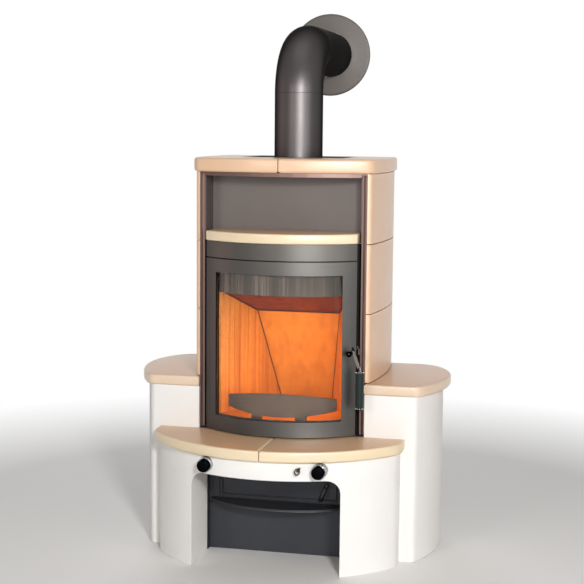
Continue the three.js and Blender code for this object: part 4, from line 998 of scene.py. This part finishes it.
def make_inner_steel():
    """What shows behind the glass: the air deflector and the log guard."""
    low, high = box_mm("air_deflector")
    outer = DOOR_CENTRE_Y - low.y
    shell = door_shell(outer, outer - 3, low, high)
    finished(shell, "deflector", "deflector", "stove", "air_deflector", edge=0.6)

    low, high = box_mm("log_guard")
    inner = GUARD_RADIUS - GUARD_THICKNESS
    blade = door_shell(GUARD_RADIUS, inner, low, high)
    half = high.x + 1
    middle = high.z - GUARD_HALF_HEIGHT
    bulge = GUARD_HALF_HEIGHT - GUARD_HALF_END
    arc_radius = (half ** 2 + bulge ** 2) / (2 * bulge)
    turn = -2 * math.degrees(math.asin(half / arc_radius))
    bow = placed(prism([
        ("line", -half, GUARD_HALF_END - middle),
        ("arc", 0, GUARD_HALF_HEIGHT - middle - arc_radius, turn),
        ("line", half, -GUARD_HALF_END - middle),
        ("arc", 0, arc_radius - middle - GUARD_HALF_HEIGHT, turn),
    ], FAR_FRONT, 0), lying=True)
    blade = carved(blade, bow, keep_common=True)
    feet = []
    for _, side in SIDES:
        x0, x1 = sorted(side * x for x in GUARD_FOOT)
        feet.append(prism(door_plan(GUARD_RADIUS - GAP, inner + GAP, x0, x1), low.z, middle))
    guard = merged(blade, *feet)
    finished(guard, "guard_blade", "guard", "stove", "log_guard", edge=0.8)


def make_corner_shade():
    """Dark tubes painted as shade along the seams where the linings meet each other and the baffle.
    """
    low, middle, front = BOARD_FOOT, BOARD_CORNER, BOARD_FRONT
    shade_tubes = [tube([(-middle[0], *middle[1:]), middle], BAFFLE_SHADE_RADIUS)]
    for _, side in SIDES:
        corner = (side * middle[0], *middle[1:])
        shade_tubes.append(tube([(side * low[0], *low[1:]), corner], BOARD_SHADE_RADIUS))
        shade_tubes.append(tube([corner, (side * front[0], *front[1:])], BAFFLE_SHADE_RADIUS))
    finished(merged(*shade_tubes), "corner_shade_lines", "soot_and_shade", "stove")


def make_posts():
    """Upright bars beside the door, each with a rounded bead near its outer edge."""
    for name, side in SIDES:
        low, high = box_mm("post_right")
        front = low.y + POST_BEAD
        plan = [
            ("line", low.x, front), ("line", POST_BEAD_X - POST_BEAD - 1, front),
            ("line", POST_BEAD_X - POST_BEAD, front), ("arc", POST_BEAD_X, front, 180),
            ("line", POST_BEAD_X + POST_BEAD + 1, front), ("line", high.x, front),
            ("line", high.x, high.y), ("line", low.x, high.y),
        ]
        post = placed(prism(plan, low.z, high.z), mirrored=side < 0)
        finished(post, f"post_{name}_bar", "post", "stove", f"post_{name}", edge=0.5)


# ---- the handle
def ribbon(outline, plane_y, thickness):
    """A flat bar in an upright plane, from its outline in (x, z)."""
    plan = [("line", x, -z) for x, z in outline]
    return placed(prism(plan, plane_y - thickness / 2, plane_y + thickness / 2), lying=True)


def make_handle():
    """A black hub with a tip, a flat tapering lever, and a grip between rings
    of small beads."""
    x, z = HANDLE_PIVOT
    y = HANDLE_PLANE_Y
    length = DOOR_GAP_TO_HANDLE
    stem = placed(turned([(0, 0), (5, 0), (5, length), (0, length)], 24), x, y, z, lying=True)
    tip = ribbon([
        (x + 4, z + 2), (x + 9, z + 9), (x + 9.5, z + 21.5), (x + 13, z + 21.5),
        (x + 19, z + 8), (x + 16, z),
    ], y, 5)
    hub = merged(ball(8.8, x + 1.5, y, z), stem, tip)
    finished(hub, "handle_hub", "knob", "handle", edge=0.8)
    screw = turned([(0, 0), (1.3, 0.3), (1.3, 2), (0, 2)], 24)
    screw = placed(screw, x + 2, y - 9, z + 1, lying=True)
    finished(screw, "handle_screw", "satin", "handle")

    grip_x = x + GRIP_REACH
    arm = ribbon([
        (x + 11, z + 12), (x + 18, z + 9), (x + 26.5, z - 14), (grip_x + 1, z - 38),
        (grip_x - 7, z - 42), (x + 17, z - 17),
    ], y, 6)
    cone = turned([(0, 0), (7, 0), (7, 1.5), (4.4, 4), (4, 14), (0, 14)], 32)
    arm = merged(arm, placed(cone, grip_x + 1, y, GRIP_TOP + 4))
    finished(arm, "handle_arm", "satin", "handle", "handle_lever", edge=1.2)
    ring_places = (GRIP_TOP + 2, GRIP_BOTTOM - 2)
    rings = []
    for ring_z in ring_places:
        for turn in range(BEADS):
            angle = 2 * math.pi * turn / BEADS
            bead_x = grip_x + BEAD_CIRCLE * math.cos(angle)
            bead_y = y + BEAD_CIRCLE * math.sin(angle)
            rings.append(ball(BEAD_RADIUS, bead_x, bead_y, ring_z, 2))
    finished(merged(*rings), "handle_beads", "bright", "handle")
    core = (0, -2.2), (BEAD_CIRCLE - 0.4, -2.2), (BEAD_CIRCLE - 0.4, 2.2), (0, 2.2)
    bands = [placed(turned(core, 48), grip_x, y, ring_z) for ring_z in ring_places]
    finished(merged(*bands), "handle_bands", "knob", "handle")
    height = GRIP_TOP - GRIP_BOTTOM
    hold = turned([
        (0, 0), (11, 0), (12, 1.2), (12.5, height / 2), (12, height - 1.2), (11, height),
        (0, height),
    ], 64)
    hold = placed(hold, grip_x, y, GRIP_BOTTOM)
    finished(hold, "handle_hold", "grip", "handle", "handle_grip")
    cap = placed(turned([(0, 0), (5, 0), (8, 1.5), (8, 3), (0, 3)], 32), grip_x, y, GRIP_BOTTOM - 7)
    finished(cap, "handle_cap", "knob", "handle")


# ---- controls in the bench front
def make_knobs():
    """Black knobs with a fin for the fingers, in ribbed collars."""
    for name, side in SIDES:
        low, high = box_mm(f"air_knob_{name}")
        x = side * KNOB_X
        rim = KNOB_RADIUS
        cap = turned([
            (0, 0), (rim - 5, 0), (rim - 1, 1), (rim, 3), (rim, KNOB_DEPTH), (0, KNOB_DEPTH),
        ], 64)
        fin_x0, fin_x1 = x - FIN_HALF_WIDTH, x + FIN_HALF_WIDTH
        fin = block(fin_x0, fin_x1, low.y, low.y + KNOB_DEPTH + 1, KNOB_Z, high.z + 0.4)
        ridge = block(x - 2, x + 2, low.y, low.y + 6, KNOB_Z - rim + 4, KNOB_Z)
        knob = merged(placed(cap, x, low.y + 2, KNOB_Z, lying=True), fin, ridge)
        finished(knob, f"knob_{name}", "knob", f"air_{name}", f"air_knob_{name}", edge=0.6)

        low, high = box_mm(f"air_collar_{name}")
        rim = high.z - KNOB_Z
        lip = turned([
            (rim - 5, 0), (rim - 1, 0), (rim, 1), (rim, 3), (rim - 1, 4), (rim - 2.5, 4),
            (rim - 2.5, 6.5), (rim - 5, 6.5),
        ], 72, closed=True)
        ribs = []
        for rib in range(2 * COLLAR_RIBS):
            angle = math.pi * rib / COLLAR_RIBS
            reach = rim if rib % 2 else rim - COLLAR_RIB_DEPTH
            ribs.append(("line", reach * math.cos(angle), reach * math.sin(angle)))
        barrel = placed(prism(ribs, 6, COLLAR_LENGTH), x, low.y, KNOB_Z, lying=True)
        lip = placed(lip, x, low.y, KNOB_Z, lying=True)
        collar = merged(barrel, lip)
        finished(collar, f"collar_{name}", "bright", "stove", f"air_collar_{name}", edge=0.25)


def make_rods():
    """The shaker rod with its eye, and the bent lever of the ash drawer."""
    x, back, z = SHAKER_X, SHAKER_BACK_Y, KNOB_Z
    rod = tube([
        (x, -456.2, z), (x, -180, z), (x, -96, z), (x - 12, -72, z + 2), (x / 2, back, z + 6),
        (12, back, z + 12), (0, back, z + 24), (0, back, z + 45), (0, back, z + 89.7),
    ], SHAKER_RADIUS)
    eye = turned([
        (EYE_RADIUS + EYE_WIRE * math.cos(angle), EYE_WIRE * math.sin(angle))
        for angle in (step * math.pi / 8 for step in range(16))
    ], 48, closed=True)
    upright = Matrix.Rotation(math.pi / 2, 3, "Y")
    aside = Matrix.Rotation(math.radians(-EYE_TURN), 3, "Z")
    bmesh.ops.rotate(eye, cent=(0, 0, 0), matrix=aside @ upright, verts=eye.verts)
    eye = merged(placed(eye, x, EYE_Y, z), ball(3.4, x + 6.5, -461, z + 9.5, 2))
    finished(merged(rod, eye), "shaker", "screw", "shaker", "shaker_rod")

    x = LEVER_X
    lever = tube([
        (x, -208.6, 178), (x, -228.9, 178), (x + 2.2, -238.3, 186.7), (x + 15, -241.6, 217),
        (x + 20, -247, 227),
    ], LEVER_RADIUS, rounded_tip=True)
    finished(lever, "drawer_lever", "door", "ash_lever", "ash_lever")


def make_drawer_front():
    """A pressed front with a sunk line round its field."""
    low, high = box_mm("ash_drawer_front")
    plate = block(low.x, high.x, low.y, high.y, low.z, high.z)
    field = [min(plate.faces, key=lambda face: face.calc_center_median().y)]
    for width, depth in PRESSED_LINE:
        bmesh.ops.inset_individual(plate, faces=field, thickness=width, depth=depth)
    finished(plate, "drawer_front", "base", "ash_drawer", "ash_drawer_front", edge=0.8)


def make_drawer_frame():
    """The folded rim round the drawer's opening, with a lip along each side of
    the wood store."""
    low, high = box_mm("ash_drawer_front")
    out, gap = FRAME_WIDTH, FRAME_GAP
    y0, y1 = low.y + FRAME_LIP, high.y + GAP
    foot = low.z - FRAME_DROP
    lips = []
    for _, side in SIDES:
        x0, x1 = sorted(side * (STORE_HALF_WIDTH - inset) for inset in (FRAME_LIP, GAP))
        lips.append(block(x0, x1, y1 - FRAME_SIDE_DEPTH, y1, GAP, STORE_HEIGHT + FRAME_RISE))
    frame_bars = merged(
        block(low.x - out, low.x - gap, y0, y1, foot, high.z + out),
        block(high.x + gap, high.x + out, y0, y1, foot, high.z + out),
        block(low.x - gap, high.x + gap, y0, y1, high.z + gap, high.z + out),
        *lips,
    )
    finished(frame_bars, "drawer_frame", "base", "stove", edge=1.5)


# ---- the flue
def straight_pipe(low, high):
    inner, outer = PIPE_RADIUS - PIPE_WALL, PIPE_RADIUS
    return turned([(inner, low), (outer, low), (outer, high), (inner, high)], 96, closed=True)


def make_flue():
    """Two straight pipes with a bend between them, and the flange on the wall."""
    low, high = box_mm("flue_pipe_upright")
    pipe = straight_pipe(low.z, high.z)
    finished(pipe, "pipe_upright", "pipe", "stove", "flue_pipe_upright", edge=0.4)

    ring = bmesh.new()
    for radius in (PIPE_RADIUS, PIPE_RADIUS - PIPE_WALL):
        bmesh.ops.create_circle(ring, segments=96, radius=radius)
    bmesh.ops.bridge_loops(ring, edges=ring.edges[:])
    placed(ring, z=PIPE_SEAM)
    bmesh.ops.spin(
        ring, geom=ring.verts[:] + ring.edges[:] + ring.faces[:], cent=(0, BEND_RADIUS, PIPE_SEAM),
        axis=(1, 0, 0), angle=-math.pi / 2, steps=40, use_merge=False,
    )
    outwards(ring)
    finished(ring, "pipe_bend", "pipe", "stove", "flue_elbow", edge=0.4)

    low, high = box_mm("flue_pipe_level")
    level = placed(straight_pipe(0, high.y - low.y), 0, low.y, FLUE_HEIGHT, lying=True)
    finished(level, "pipe_level", "pipe", "stove", "flue_pipe_level", edge=0.4)

    low, high = box_mm("wall_rosette")
    rim = high.x
    depth = high.y - low.y
    hole = PIPE_RADIUS + GAP
    rosette = turned([
        (hole, 0), (hole + 4, 0), (hole + 8, 1.2), (rim - 9, depth / 3), (rim - 3, depth / 2.2),
        (rim, depth * 0.75), (rim, depth), (hole, depth),
    ], 128, closed=True)
    placed(rosette, 0, low.y, FLUE_HEIGHT, lying=True)
    finished(rosette, "rosette", "rosette", "stove", "wall_rosette")


# ---- materials on CAD
def dress_nodes():
    """Materials for the CAD nodes that are shown as they are."""
    by_look = {
        "casing": ["outer_jacket", "firebox_body", "firebox_cover", "top_insert"],
        "post": ["top_deck"],
        "base": ["base_carcass", "base_plinth"],
        "board": ["lining_back", "hearth_floor"],
        "side_board": ["lining_left", "lining_right"],
        "baffle": ["baffle_plate"],
        "iron": ["grate", "latch_keeper", "latch_spindle"],
        "bright": ["hinge_bottom", "hinge_top"],
        "sheet": ["ash_pan", "air_valve_left", "air_valve_right"],
    }
    for look, nodes in by_look.items():
        for node in nodes:
            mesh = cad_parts[node].data
            mesh.materials.clear()
            mesh.materials.append(finishes[look])


finishes = make_finishes()
make_camera()
make_studio()
make_floor()
make_bench()
make_wings()
make_tiles()
make_top()
make_door()
make_fascia()
make_niche()
make_inner_steel()
make_corner_shade()
make_posts()
make_handle()
make_knobs()
make_rods()
make_drawer_front()
make_drawer_frame()
make_flue()
dress_nodes()

bpy.context.scene.view_settings.view_transform = "Standard"
